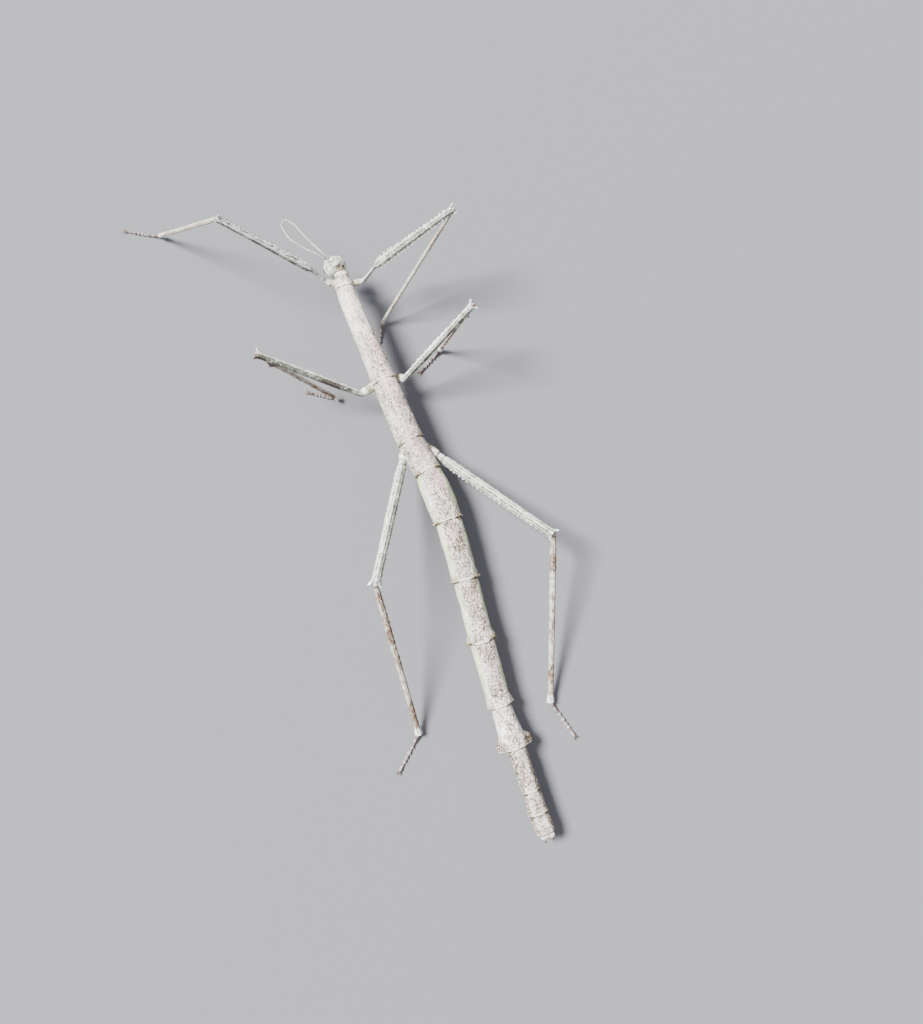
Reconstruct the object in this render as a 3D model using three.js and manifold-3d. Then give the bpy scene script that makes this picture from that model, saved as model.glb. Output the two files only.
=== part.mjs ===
// Giant stick insect, a wingless female, life-size and standing on the floor.
//
// Millimetres, +Z up, floor at Z = 0, head toward +Y, the animal's right side toward +X.
// The trunk is a chain of body segments strung on one curved centreline, and every limb is a
// chain of tapered, keeled pieces set by a direction, so that each foot comes down on the floor.

import * as THREE from 'three';
import Module from 'manifold-3d';
import { mergeVertices } from 'three/addons/utils/BufferGeometryUtils.js';

const wasm = await Module();
wasm.setup();

// ---------------------------------------------------------------- driving dimensions

const GAP = 0.3; // clearance between touching pieces
const TRUNK_SIDES = 14; // points round a body segment
const LIMB_SIDES = 6; // points round a leg piece, with a keel along each side
const FEELER_SIDES = 5; // points round an antenna or a palp
const SHORT_EDGE = 0.03; // edges shorter than this are closed up after a cut

// Trunk, from the head backwards. turn: degrees from straight back, positive toward the left.
// height: of the centreline at the piece's rear. deep: height of the section over its width.
// profile: [share of the length, width, reach of the side fin].
// notch: how far the rear's two sides reach back past its middle.
const NECK_START = [2.1, 133.9, 22.7];
const TRUNK = [
  {
    name: 'neck', length: 2.2, turn: 5, height: 22.4, deep: 0.92,
    profile: [[0, 4.9, 0], [1, 5.2, 0]],
  },
  {
    name: 'pronotum', length: 7, turn: 6.5, height: 22, deep: 0.86,
    profile: [[0, 6.2, 0], [0.12, 7.0, 0], [0.5, 7.7, 0], [0.85, 8.0, 0], [1, 7.7, 0]],
  },
  {
    name: 'mesothorax', length: 46.5, turn: -2.5, height: 18.5, deep: 0.86,
    profile: [
      [0, 7.8, 0], [0.03, 8.3, 0], [0.35, 9.2, 0], [0.7, 10.2, 0], [0.94, 11.0, 0], [1, 10.6, 0],
    ],
  },
  {
    name: 'metathorax', length: 30.3, turn: -3.2, height: 16, deep: 0.85,
    profile: [
      [0, 10.6, 0], [0.05, 11.2, 0], [0.4, 11.9, 0], [0.75, 12.1, 0], [0.95, 12.3, 0], [1, 11.9, 0],
    ],
  },
  {
    name: 'median_segment', length: 16, turn: -8.2, height: 15, deep: 0.84,
    profile: [[0, 11.6, 0], [0.08, 12.0, 0], [0.5, 12.3, 0], [0.92, 12.5, 0], [1, 12.2, 0]],
  },
  {
    name: 'abdomen_2', length: 24.2, turn: -1.9, height: 13.5, deep: 0.8,
    profile: [
      [0, 11.8, 0], [0.06, 12.4, 0.1], [0.35, 13.8, 0.1],
      [0.65, 14.0, 0.1], [0.94, 12.7, 0.3], [1, 12.3, 0.3],
    ],
  },
  {
    name: 'abdomen_3', length: 28, turn: 4.7, height: 12.5, deep: 0.8,
    profile: [
      [0, 11.7, 0], [0.05, 12.2, 0.1], [0.4, 12.6, 0.1],
      [0.8, 12.0, 0.1], [0.95, 11.8, 0.4], [1, 11.6, 0.4],
    ],
  },
  {
    name: 'abdomen_4', length: 28.6, turn: 5.4, height: 11.5, deep: 0.8,
    profile: [
      [0, 11.0, 0], [0.05, 11.4, 0.1], [0.4, 11.7, 0.1],
      [0.8, 11.8, 0.1], [0.95, 12.2, 0.4], [1, 12.0, 0.4],
    ],
  },
  {
    name: 'abdomen_5', length: 29.7, turn: 4.4, height: 10.5, deep: 0.8,
    profile: [
      [0, 10.8, 0], [0.05, 11.4, 0.1], [0.4, 11.5, 0.1],
      [0.8, 10.8, 0.1], [0.95, 10.9, 0.4], [1, 10.7, 0.4],
    ],
  },
  {
    name: 'abdomen_6', length: 20.5, turn: 0.8, height: 10, deep: 0.8, notch: 0.4,
    profile: [
      [0, 8.6, 0], [0.08, 9.0, 0], [0.4, 10.0, 0.1], [0.66, 11.0, 0.3],
      [0.83, 12.9, 1.7], [0.95, 12.6, 1.5], [1, 11.4, 0.9],
    ],
  },
  {
    name: 'abdomen_7', length: 20.1, turn: 0.9, height: 9.5, deep: 0.86,
    profile: [[0, 8.8, 0], [0.1, 8.6, 0], [0.5, 8.2, 0], [0.9, 8.2, 0.1], [1, 8.1, 0.1]],
  },
  {
    name: 'abdomen_8', length: 10.3, turn: 3.3, height: 9, deep: 0.84,
    profile: [[0, 7.9, 0], [0.15, 8.1, 0], [0.6, 8.4, 0], [0.9, 8.8, 0.1], [1, 8.6, 0.1]],
  },
  {
    name: 'abdomen_9', length: 6.1, turn: -1, height: 9, deep: 0.78,
    profile: [[0, 8.2, 0], [0.2, 8.6, 0], [0.8, 8.8, 0.1], [1, 8.6, 0.1]],
  },
  {
    name: 'abdomen_10', length: 5.4, turn: -2, height: 9, deep: 0.66, notch: 1.3,
    profile: [[0, 8.1, 0], [0.3, 8.2, 0], [0.75, 7.4, 0], [1, 5.8, 0]],
  },
];
const BELLY = 0.9; // the underside is this much flatter than the back

// Head, turned to the left and nodding. Its profile: [share of the length, width, height].
const HEAD = { at: [1.5, 133.4, 23.2], turn: 22, dip: 34, length: 8.4 };
const HEAD_PROFILE = [
  [0, 6.0, 5.6], [0.07, 8.2, 7.4], [0.25, 9.9, 8.8], [0.5, 10.2, 8.9],
  [0.72, 9.3, 8.2], [0.9, 7.4, 6.6], [1, 5.6, 5.2],
];
const MOUTH = { turn: 22, dip: 62, length: 2.9 };
const MOUTH_PROFILE = [[0, 5.2, 4.2], [0.45, 4.6, 3.8], [0.85, 3.6, 3.0], [1, 2.6, 2.0]];
const EYE = { along: 4.9, aside: 4.35, up: 0.9, radius: 1.25 };
const ANTENNA = { along: 7.2, aside: 1.9, up: 2.4, base: 0.8, thick: 0.45, thin: 0.27 };
// Where each antenna's curve leads, from its base to its tip.
const ANTENNA_COURSE = {
  left: [[-3.4, 141.4, 23.6], [-10.4, 148.4, 25.2], [-15.0, 155.0, 25.8], [-16.2, 162.0, 26.0]],
  right: [
    [-1.4, 141.2, 24.0], [-6.9, 151.4, 24.8], [-11.0, 160.8, 25.0], [-14.0, 163.8, 25.0],
    [-15.6, 162.4, 25.0],
  ],
};
const MAXILLARY_PALP = { along: 5.8, aside: 2.7, reach: [1.3, 3.4, -2.2], radius: 0.36 };
const PALP_DEPTH = 3.2; // the palps' roots below the head's axis
const LABIAL_PALP = { along: 4.6, aside: 1.2, reach: [0.6, 1.2, -2.6], radius: 0.32 };

// Tail end.
const OPERCULUM = { length: 17.5, width: 6.6, depth: 1.9, below: 3.75 };
// Its outline, as [share of the length, share of the width, share of the depth].
const OPERCULUM_PROFILE = [[0, 0.8, 0.7], [0.2, 1, 1], [0.6, 0.9, 1], [0.9, 0.5, 0.7], [1, 0.2, 0.4]];
const CERCUS = { aside: 1.5, below: 0.9, length: 4.6, radius: 0.62 };

// Legs. A limb's profile: [share of the length, width, height].
const LEG = {
  front: { femur: 57, tibia: 70.5, tarsus: 17 },
  middle: { femur: 51, tibia: 50.5, tarsus: 14 },
  hind: { femur: 64.2, tibia: 79, tarsus: 19 },
};
const FEMUR_PROFILE = {
  front: [
    [0, 2.2, 2.6], [0.03, 2.5, 2.8], [0.1, 2.1, 2.6], [0.16, 2.3, 2.8], [0.19, 3.9, 3.2],
    [0.3, 4.2, 3.4], [0.93, 3.3, 3.1],
  ],
  middle: [[0, 2.6, 3.0], [0.05, 3.3, 3.4], [0.3, 3.5, 3.5], [0.93, 3.1, 3.1]],
  hind: [[0, 3.2, 3.6], [0.05, 4.6, 4.4], [0.3, 4.6, 4.3], [0.93, 4.1, 3.9]],
};
const KNEE = { front: 3.7, middle: 4.0, hind: 5.0 };
const KNEE_LOBE = 1.2; // how far the knee's side lobes reach past the hinge
const TIBIA_PROFILE = {
  front: [[0, 1.6, 1.7], [0.05, 1.9, 2.0], [0.6, 1.8, 1.9], [0.94, 1.8, 1.8], [1, 2.2, 2.0]],
  middle: [[0, 1.7, 1.8], [0.1, 2.3, 2.3], [0.6, 2.0, 2.1], [0.92, 2.0, 2.0], [1, 2.5, 2.2]],
  hind: [[0, 2.0, 2.2], [0.08, 3.0, 2.9], [0.6, 2.9, 2.8], [0.93, 2.7, 2.6], [1, 3.3, 2.8]],
};
// Saw teeth: how many, how high, and over what share of the length, on the two edges of a piece.
const FEMUR_TEETH = {
  front: { count: 12, from: 0.2, to: 0.92, ahead: 0.8, behind: 0.5 },
  middle: { count: 9, from: 0.12, to: 0.92, ahead: 0.5, behind: 0.15 },
  hind: { count: 12, from: 0.1, to: 0.92, ahead: 0.15, behind: 0.7 },
};
const TIBIA_TEETH = {
  front: { count: 5, from: 0.1, to: 0.9, ahead: 0.1, behind: 0.2 },
  middle: { count: 5, from: 0.16, to: 0.88, ahead: 0.1, behind: 0.3 },
  hind: { count: 7, from: 0.1, to: 0.92, ahead: 0.1, behind: 0.35 },
};
// The front femur curves forward, to close round the head when both are laid ahead: how far, and
// by what share of its length the bend is complete.
const FEMUR_BOW = { depth: 1.9, by: 0.2 };
const STRAIGHT = { depth: 0, by: 1 };
const ANKLE = 2.6; // height of the shin's end above the floor

// How each leg stands, in degrees. hip: the end of its coxa. femur: [bearing, rise], the bearing
// measured from straight ahead toward the right. roll: how far the femur's front edge is turned
// up. tibia and tarsus: their bearings, as the tibia's fall follows from the floor.
const STANCE = [
  {
    pair: 'front', side: 'left', root: 'pronotum', hip: [-5.9, 131.3, 21],
    femur: [-52.2, 40.5], roll: 62, tibia: -47.5, tarsus: -60,
  },
  {
    pair: 'front', side: 'right', root: 'pronotum', hip: [10.0, 125.7, 21],
    femur: [86, 38], roll: 0, tibia: -114.1, tarsus: -150,
  },
  {
    pair: 'middle', side: 'left', root: 'mesothorax', hip: [-8.9, 77.2, 16.4],
    femur: [-54.9, 28.9], roll: 0, tibia: 128.7, tarsus: -56,
  },
  {
    pair: 'middle', side: 'right', root: 'mesothorax', hip: [12.8, 77.2, 16.4],
    femur: [73, 42.7], roll: 0, tibia: -90, tarsus: -118,
  },
  {
    pair: 'hind', side: 'left', root: 'metathorax', hip: [-1.7, 41.6, 14],
    femur: [-148.9, 24.7], roll: 0, tibia: -174.5, tarsus: -132,
  },
  {
    pair: 'hind', side: 'right', root: 'metathorax', hip: [14.6, 38.0, 14],
    femur: [147.1, 11.5], roll: 0, tibia: -160, tarsus: 165,
  },
];
const COXA = { front: 2.9, middle: 4.0, hind: 5.0 }; // width of each pair's coxa
// The coxa's outline, as [share of the length, share of the width, share of the height].
const COXA_PROFILE = [[0, 1.1, 1], [0.6, 1, 1], [0.85, 0.85, 0.9], [1, 0.6, 0.7]];
const COXA_INSET = 2.2; // how far from the trunk's middle a coxa starts

// Tarsus: shares of the length taken by its five joints, and their widths.
const TARSUS_JOINTS = [0.4, 0.16, 0.12, 0.1, 0.22];
const TARSUS_WIDTH = { front: 1.5, middle: 1.5, hind: 1.8 };
const CLAW = { length: 1.9, radius: 0.3, spread: 0.75 };

// Finishes of the plain solids: colour, roughness.
const FINISH = {
  bark: [0xcdc8c6, 0.8],
  mint: [0xc6cfc0, 0.8],
  shin: [0xa08d7c, 0.8],
  foot: [0xb9b2a6, 0.8],
  eye: [0x54402f, 0.3],
  claw: [0x3a2a20, 0.4],
};

// ---------------------------------------------------------------- shared geometry

const UP = new THREE.Vector3(0, 0, 1);
const vector = (xyz) => new THREE.Vector3(...xyz);
const radians = THREE.MathUtils.degToRad;

/** The unit direction at a bearing, from +Y toward +X, and a rise, both in degrees. */
function heading(bearing, rise = 0) {
  const level = Math.cos(radians(rise));
  return new THREE.Vector3(
    level * Math.sin(radians(bearing)),
    level * Math.cos(radians(bearing)),
    Math.sin(radians(rise)),
  );
}

/** Axes for a section across a direction: aside is level and to its right, over is its upper side. */
function frameAcross(direction) {
  const along = direction.clone().normalize();
  const aside = new THREE.Vector3().crossVectors(along, UP).normalize();
  const over = new THREE.Vector3().crossVectors(aside, along);
  return { along, aside, over };
}

/** A point given in a frame: forward, to the side and over. */
function pointIn(origin, frame, along, aside, over) {
  return origin
    .clone()
    .addScaledVector(frame.along, along)
    .addScaledVector(frame.aside, aside)
    .addScaledVector(frame.over, over);
}

/** The closed surface through rings of equally many points, capped at both ends. */
function loft(rings) {
  const count = rings[0].length;
  const points = rings.flat();
  const index = [];
  for (let r = 0; r + 1 < rings.length; r++) {
    for (let i = 0; i < count; i++) {
      const here = r * count + i;
      const next = r * count + ((i + 1) % count);
      index.push(here, next, next + count, here, next + count, here + count);
    }
  }
  const last = (rings.length - 1) * count;
  const ends = [[0, 1], [last, -1]];
  for (const [start, sense] of ends) {
    const middle = points.length;
    const ring = points.slice(start, start + count);
    points.push(ring.reduce((sum, p) => sum.add(p), new THREE.Vector3()).divideScalar(count));
    for (let i = 0; i < count; i++) {
      const pair = [start + i, start + ((i + 1) % count)];
      index.push(middle, ...(sense > 0 ? pair.reverse() : pair));
    }
  }
  const geometry = new THREE.BufferGeometry();
  geometry.setAttribute('position', new THREE.Float32BufferAttribute(points.flatMap((p) => p.toArray()), 3));
  geometry.setIndex(volume(points, index) < 0 ? turned(index) : index);
  return geometry;
}

/** The signed volume inside a triangle list. */
function volume(points, index) {
  let sum = 0;
  for (let i = 0; i < index.length; i += 3) {
    const [a, b, c] = [points[index[i]], points[index[i + 1]], points[index[i + 2]]];
    sum += a.dot(new THREE.Vector3().crossVectors(b, c)) / 6;
  }
  return sum;
}

/** The same triangles with their faces turned over. */
function turned(index) {
  const flipped = [];
  for (let i = 0; i < index.length; i += 3) flipped.push(index[i], index[i + 2], index[i + 1]);
  return flipped;
}

/** A three.js geometry as a manifold solid. */
function solid(geometry) {
  const bare = geometry.clone();
  bare.deleteAttribute('normal');
  bare.deleteAttribute('uv');
  const merged = mergeVertices(bare, 1e-4);
  const mesh = new wasm.Mesh({
    numProp: 3,
    vertProperties: new Float32Array(merged.attributes.position.array),
    triVerts: new Uint32Array(merged.index.array),
  });
  return new wasm.Manifold(mesh);
}

/** A manifold solid as a three.js geometry. */
function geometryOf(body) {
  const mesh = body.getMesh();
  const geometry = new THREE.BufferGeometry();
  geometry.setAttribute('position', new THREE.Float32BufferAttribute(mesh.vertProperties, 3));
  geometry.setIndex(new THREE.Uint32BufferAttribute(mesh.triVerts, 1));
  return geometry;
}

/** The largest single body left of a piece once its neighbours are taken out of it. */
function cut(geometry, neighbours) {
  let body = solid(geometry);
  for (const neighbour of neighbours) body = body.subtract(solid(neighbour));
  const pieces = body.decompose();
  pieces.sort((a, b) => b.volume() - a.volume());
  return geometryOf(pieces[0].simplify(SHORT_EDGE));
}

/** Pieces that touch or cross, joined into one body. */
function joined(geometries) {
  return geometryOf(geometries.map(solid).reduce((a, b) => a.add(b)).simplify(SHORT_EDGE));
}

// ---------------------------------------------------------------- trunk

/** The trunk's joints, one more than its pieces, from the neck to the tail. */
function trunkJoints() {
  const joints = [vector(NECK_START)];
  for (const piece of TRUNK) {
    const from = joints[joints.length - 1];
    const drop = piece.height - from.z;
    const level = Math.sqrt(piece.length ** 2 - drop ** 2);
    joints.push(from.clone().addScaledVector(heading(180 + piece.turn), level).setZ(piece.height));
  }
  return joints;
}

const joints = trunkJoints();
const spine = new THREE.CatmullRomCurve3(joints, false, 'centripetal');

/** The place and the forward-facing frame on the centreline, at a piece's number plus a share of it. */
function spineAt(place) {
  const held = THREE.MathUtils.clamp(place, 0, TRUNK.length);
  const share = held / TRUNK.length;
  const frame = frameAcross(spine.getTangent(share).negate());
  const beyond = (held - place) * TRUNK[held === 0 ? 0 : TRUNK.length - 1].length;
  return { point: spine.getPoint(share).addScaledVector(frame.along, beyond), frame };
}

/** One ring of a body segment, with a flatter belly and pointed fins at the sides. */
function trunkRing(place, width, depth, fin, notch) {
  const { point, frame } = spineAt(place);
  const ring = [];
  for (let i = 0; i < TRUNK_SIDES; i++) {
    const angle = (2 * Math.PI * i) / TRUNK_SIDES;
    const side = Math.cos(angle);
    const over = Math.sin(angle);
    const reach = (width / 2) * side + (Math.abs(side) > 0.999 ? fin * Math.sign(side) : 0);
    const lift = (depth / 2) * over * (over < 0 ? BELLY : 1);
    ring.push(pointIn(point, frame, -notch * side ** 4, reach, lift));
  }
  return ring;
}

/** A body segment. swell makes it larger all round, for cutting its neighbours clear of it. */
function trunkPiece(index, swell = 0) {
  const { length, deep, profile, notch = 0 } = TRUNK[index];
  const inset = (GAP / 2 - swell) / length;
  const rings = profile.map(([share, width, fin]) => {
    const ends = { 0: inset, 1: 1 - inset };
    const place = index + (ends[share] ?? share);
    const slim = Math.max(width - fin, width * 0.94);
    return trunkRing(place, width + 2 * swell, slim * deep + 2 * swell, fin, share === 1 ? notch : 0);
  });
  return loft(rings);
}

// ---------------------------------------------------------------- head

const headFrame = frameAcross(heading(-HEAD.turn, -HEAD.dip));
const headStart = vector(HEAD.at);

/** A rounded body of elliptical rings along a direction. */
function pod(origin, frame, length, profile, swell = 0, sides = 12) {
  const rings = profile.map(([share, width, height], at) => {
    const end = at === 0 ? -swell : at === profile.length - 1 ? swell : 0;
    const ring = [];
    for (let i = 0; i < sides; i++) {
      const angle = (2 * Math.PI * i) / sides;
      const aside = (width / 2 + swell) * Math.cos(angle);
      const over = (height / 2 + swell) * Math.sin(angle);
      ring.push(pointIn(origin, frame, share * length + end, aside, over));
    }
    return ring;
  });
  return loft(rings);
}

const headPod = (swell = 0) => pod(headStart, headFrame, HEAD.length, HEAD_PROFILE, swell);

/** A ball in the head's frame, for an eye or its socket. */
function eyeBall(side, radius) {
  const centre = pointIn(headStart, headFrame, EYE.along, side * EYE.aside, EYE.up);
  const ball = new THREE.SphereGeometry(radius, 8, 6);
  ball.applyMatrix4(new THREE.Matrix4().makeTranslation(centre.x, centre.y, centre.z));
  return ball;
}

/** A round tapering tube along a curve, with its thickness given at each share of the way. */
function feeler(curve, steps, radiusAt, sides = FEELER_SIDES) {
  const rings = [];
  for (let i = 0; i <= steps; i++) {
    const share = i / steps;
    const frame = frameAcross(curve.getTangent(share));
    const radius = radiusAt(share);
    const ring = [];
    for (let k = 0; k < sides; k++) {
      const angle = (2 * Math.PI * k) / sides;
      ring.push(pointIn(curve.getPoint(share), frame, 0, radius * Math.cos(angle), radius * Math.sin(angle)));
    }
    rings.push(ring);
  }
  return loft(rings);
}

function antenna(name, side) {
  const base = pointIn(headStart, headFrame, ANTENNA.along, side * ANTENNA.aside, ANTENNA.up);
  const curve = new THREE.CatmullRomCurve3([base, ...ANTENNA_COURSE[name].map(vector)]);
  const baseShare = 0.09;
  const taper = (share) => THREE.MathUtils.lerp(ANTENNA.thick, ANTENNA.thin, share);
  return feeler(curve, 14, (share) => (share < baseShare ? ANTENNA.base : taper(share)));
}

function palp({ along, aside, reach, radius }, side) {
  const base = pointIn(headStart, headFrame, along, side * aside, -PALP_DEPTH);
  const [out, forward, down] = reach;
  const bend = base.clone().add(new THREE.Vector3(side * out, forward * 0.4, down * 0.7));
  const tip = base.clone().add(new THREE.Vector3(side * out * 0.9, forward, down * 1.5));
  return feeler(new THREE.QuadraticBezierCurve3(base, bend, tip), 4, () => radius);
}

// ---------------------------------------------------------------- tail end

function operculum() {
  const start = TRUNK.length - 3; // the plate starts under the eighth segment
  const { point, frame } = spineAt(start);
  const away = { along: frame.along.clone().negate(), aside: frame.aside, over: frame.over };
  const { length, width, depth, below } = OPERCULUM;
  const origin = pointIn(point, away, 0, 0, -below);
  const profile = OPERCULUM_PROFILE.map(([share, w, d]) => [share, width * w, depth * d]);
  return pod(origin, away, length, profile, 0, 8);
}

function cercus(side) {
  const { point, frame } = spineAt(TRUNK.length - 0.5);
  const start = pointIn(point, frame, 0, side * CERCUS.aside, -CERCUS.below);
  const end = pointIn(start, frame, -CERCUS.length, side * 0.3, -0.5);
  const line = new THREE.LineCurve3(start, end);
  return feeler(line, 4, (share) => CERCUS.radius * (1 - 0.5 * share * share));
}

// ---------------------------------------------------------------- legs

/** One keeled ring of a leg piece. */
function limbRing(point, frame, width, height, ahead, behind, slant = 0) {
  const ring = [];
  const top = Math.sin((2 * Math.PI) / LIMB_SIDES);
  for (let i = 0; i < LIMB_SIDES; i++) {
    const angle = (2 * Math.PI * i) / LIMB_SIDES;
    const tooth = i === 0 ? ahead : i === LIMB_SIDES / 2 ? -behind : 0;
    const aside = (width / 2) * Math.cos(angle) + tooth;
    const over = ((height / 2) * Math.sin(angle)) / top;
    const forward = Math.abs(Math.cos(angle)) > 0.99 ? slant : 0;
    ring.push(pointIn(point, frame, forward, aside, over));
  }
  return ring;
}

/** A value of a profile between its given shares. */
function profileAt(profile, share, column) {
  const after = Math.max(1, profile.findIndex(([at]) => at >= share));
  const [low, high] = [profile[after - 1], profile[after]];
  const part = (share - low[0]) / (high[0] - low[0]);
  return THREE.MathUtils.lerp(low[column], high[column], THREE.MathUtils.clamp(part, 0, 1));
}

/** The shares of the length at which a toothed piece needs a ring, with the teeth's height there. */
function toothedShares(profile, teeth) {
  const plain = profile.filter(([at]) => at < teeth.from - 0.01 || at > teeth.to + 0.01);
  const shares = plain.map(([at]) => [at, 0]);
  const pitch = (teeth.to - teeth.from) / teeth.count;
  for (let i = 0; i < teeth.count; i++) {
    shares.push([teeth.from + i * pitch, 0], [teeth.from + (i + 0.72) * pitch, 1]);
  }
  shares.push([teeth.to, 0]);
  return shares.sort((a, b) => a[0] - b[0]);
}

/** A leg piece with saw teeth along its two edges, and lobes at its end where it has a knee. */
function limb({ from, to, profile, teeth, bow = STRAIGHT, knee = 0, roll = 0, swell = 0 }) {
  const length = from.distanceTo(to);
  const frame = frameAcross(to.clone().sub(from));
  // The frame's side is turned to face the head, so that ahead and behind mean the same on every leg.
  const facing = frame.aside.y < 0 ? -1 : 1;
  frame.aside.multiplyScalar(facing);
  const level = frame.aside.clone();
  frame.aside.multiplyScalar(Math.cos(radians(roll))).addScaledVector(frame.over, Math.sin(radians(roll)));
  frame.over.multiplyScalar(Math.cos(radians(roll))).addScaledVector(level, -Math.sin(radians(roll)));
  const rings = toothedShares(profile, teeth).map(([share, tooth]) => {
    const ease = THREE.MathUtils.smoothstep(share, 0, bow.by) * Math.cos((Math.PI / 2) * share);
    const bend = bow.depth * ease;
    const ends = { 0: -swell, 1: length + swell };
    const point = pointIn(from, frame, ends[share] ?? share * length, bend, 0);
    const width = profileAt(profile, share, 1) + 2 * swell;
    const height = profileAt(profile, share, 2) + 2 * swell;
    return limbRing(point, frame, width, height, tooth * teeth.ahead, tooth * teeth.behind);
  });
  if (knee) {
    const { 2: height } = profile[profile.length - 1];
    const neck = pointIn(from, frame, 0.97 * length, 0, 0);
    const end = pointIn(from, frame, length + swell, 0, 0);
    rings.push(limbRing(neck, frame, knee * 0.88 + 2 * swell, height + 2 * swell, 0, 0));
    rings.push(limbRing(end, frame, knee + 2 * swell, height * 0.9 + 2 * swell, 0, 0, KNEE_LOBE));
  }
  return loft(rings);
}

/** The tarsus: five joints on flat soles, from the ankle to the claws. */
function tarsus(from, bearing, length, width) {
  const frame = frameAcross(heading(bearing));
  const ground = from.clone().setZ(0);
  const rings = [];
  const ring = (along, wide, low, high) => {
    const middle = low + 0.45 * (high - low);
    const outline = [[0.5, middle], [0.28, high], [-0.28, high], [-0.5, middle], [-0.38, low], [0.38, low]];
    rings.push(outline.map(([aside, over]) => pointIn(ground, frame, along, aside * wide, over)));
  };
  let along = 0;
  ring(0.2, width * 0.8, 1.3, 3.1);
  TARSUS_JOINTS.forEach((share, joint) => {
    const end = along + share * length;
    const first = joint === 0;
    const last = joint === TARSUS_JOINTS.length - 1;
    const top = first ? 1.9 : 1.7;
    if (first) ring(end * 0.45, width * 0.72, 0.35, 2.1);
    ring(along + (first ? 0.8 : 0.4) * share * length, width * 0.75, 0, top - 0.3);
    ring(end - 0.25, width * (last ? 0.7 : 1), 0, top);
    along = end;
  });
  return loft(rings);
}

/** A pair of hooked claws, joined at their root past the end of the tarsus. */
function claws(from, bearing, tarsusLength, width) {
  const frame = frameAcross(heading(bearing));
  const root = pointIn(from.clone().setZ(0.95), frame, tarsusLength - 0.25 + GAP, 0, 0);
  const hook = (side) => {
    const out = pointIn(root, frame, CLAW.length * 0.6, side * CLAW.spread, 0.45);
    const tip = pointIn(root, frame, CLAW.length, side * CLAW.spread * 1.25, -0.55);
    const start = pointIn(root, frame, 0.3, side * width * 0.14, 0);
    const curve = new THREE.QuadraticBezierCurve3(start, out, tip);
    return feeler(curve, 3, (share) => CLAW.radius * (1 - 0.1 * share), 4);
  };
  const barProfile = [[0, width * 0.6, 0.7], [0.5, width * 0.66, 0.8], [1, width * 0.5, 0.6]];
  const bar = pod(root, frame, 0.7, barProfile, 0, 6);
  return joined([bar, hook(1), hook(-1)]);
}

// ---------------------------------------------------------------- the whole animal

const animal = new THREE.Group();

function add(name, geometry, [colour, roughness]) {
  geometry.computeVertexNormals();
  const material = new THREE.MeshStandardMaterial({ color: colour, roughness, metalness: 0 });
  const mesh = new THREE.Mesh(geometry, material);
  mesh.name = name;
  animal.add(mesh);
}

function addTrunk() {
  TRUNK.forEach(({ name, notch }, index) => {
    if (name === 'neck') return;
    const plain = trunkPiece(index);
    const overhangs = notch && index + 1 < TRUNK.length;
    add(name, overhangs ? cut(plain, [trunkPiece(index + 1, GAP)]) : plain, FINISH.bark);
  });
}

function addHead() {
  const headSwollen = headPod(GAP);
  const sockets = [-1, 1].map((side) => eyeBall(side, EYE.radius + GAP));
  const mouthStart = pointIn(headStart, headFrame, HEAD.length - 0.9, 0, -0.9);
  const mouthFrame = frameAcross(heading(-MOUTH.turn, -MOUTH.dip));
  const mouthPod = (swell) => pod(mouthStart, mouthFrame, MOUTH.length, MOUTH_PROFILE, swell, 10);
  const collar = trunkPiece(1, GAP);
  add('head', cut(headPod(), [...sockets, collar]), FINISH.bark);
  add('mouthparts', cut(mouthPod(0), [headSwollen]), FINISH.shin);
  add('neck', cut(trunkPiece(0), [headSwollen]), FINISH.shin);
  const palpClear = [headSwollen, mouthPod(GAP)];
  const sides = { left: -1, right: 1 };
  for (const [name, side] of Object.entries(sides)) {
    add(`eye_${name}`, eyeBall(side, EYE.radius), FINISH.eye);
    add(`antenna_${name}`, cut(antenna(name, side), [headSwollen]), FINISH.foot);
    add(`maxillary_palp_${name}`, cut(palp(MAXILLARY_PALP, side), palpClear), FINISH.foot);
    add(`labial_palp_${name}`, cut(palp(LABIAL_PALP, side), palpClear), FINISH.foot);
  }
}

function addTail() {
  const last = TRUNK.length - 1;
  const behind = [last - 3, last - 2, last - 1, last].map((index) => trunkPiece(index, GAP));
  add('operculum', cut(operculum(), behind), FINISH.bark);
  add('cercus_left', cut(cercus(-1), behind), FINISH.foot);
  add('cercus_right', cut(cercus(1), behind), FINISH.foot);
}

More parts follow.
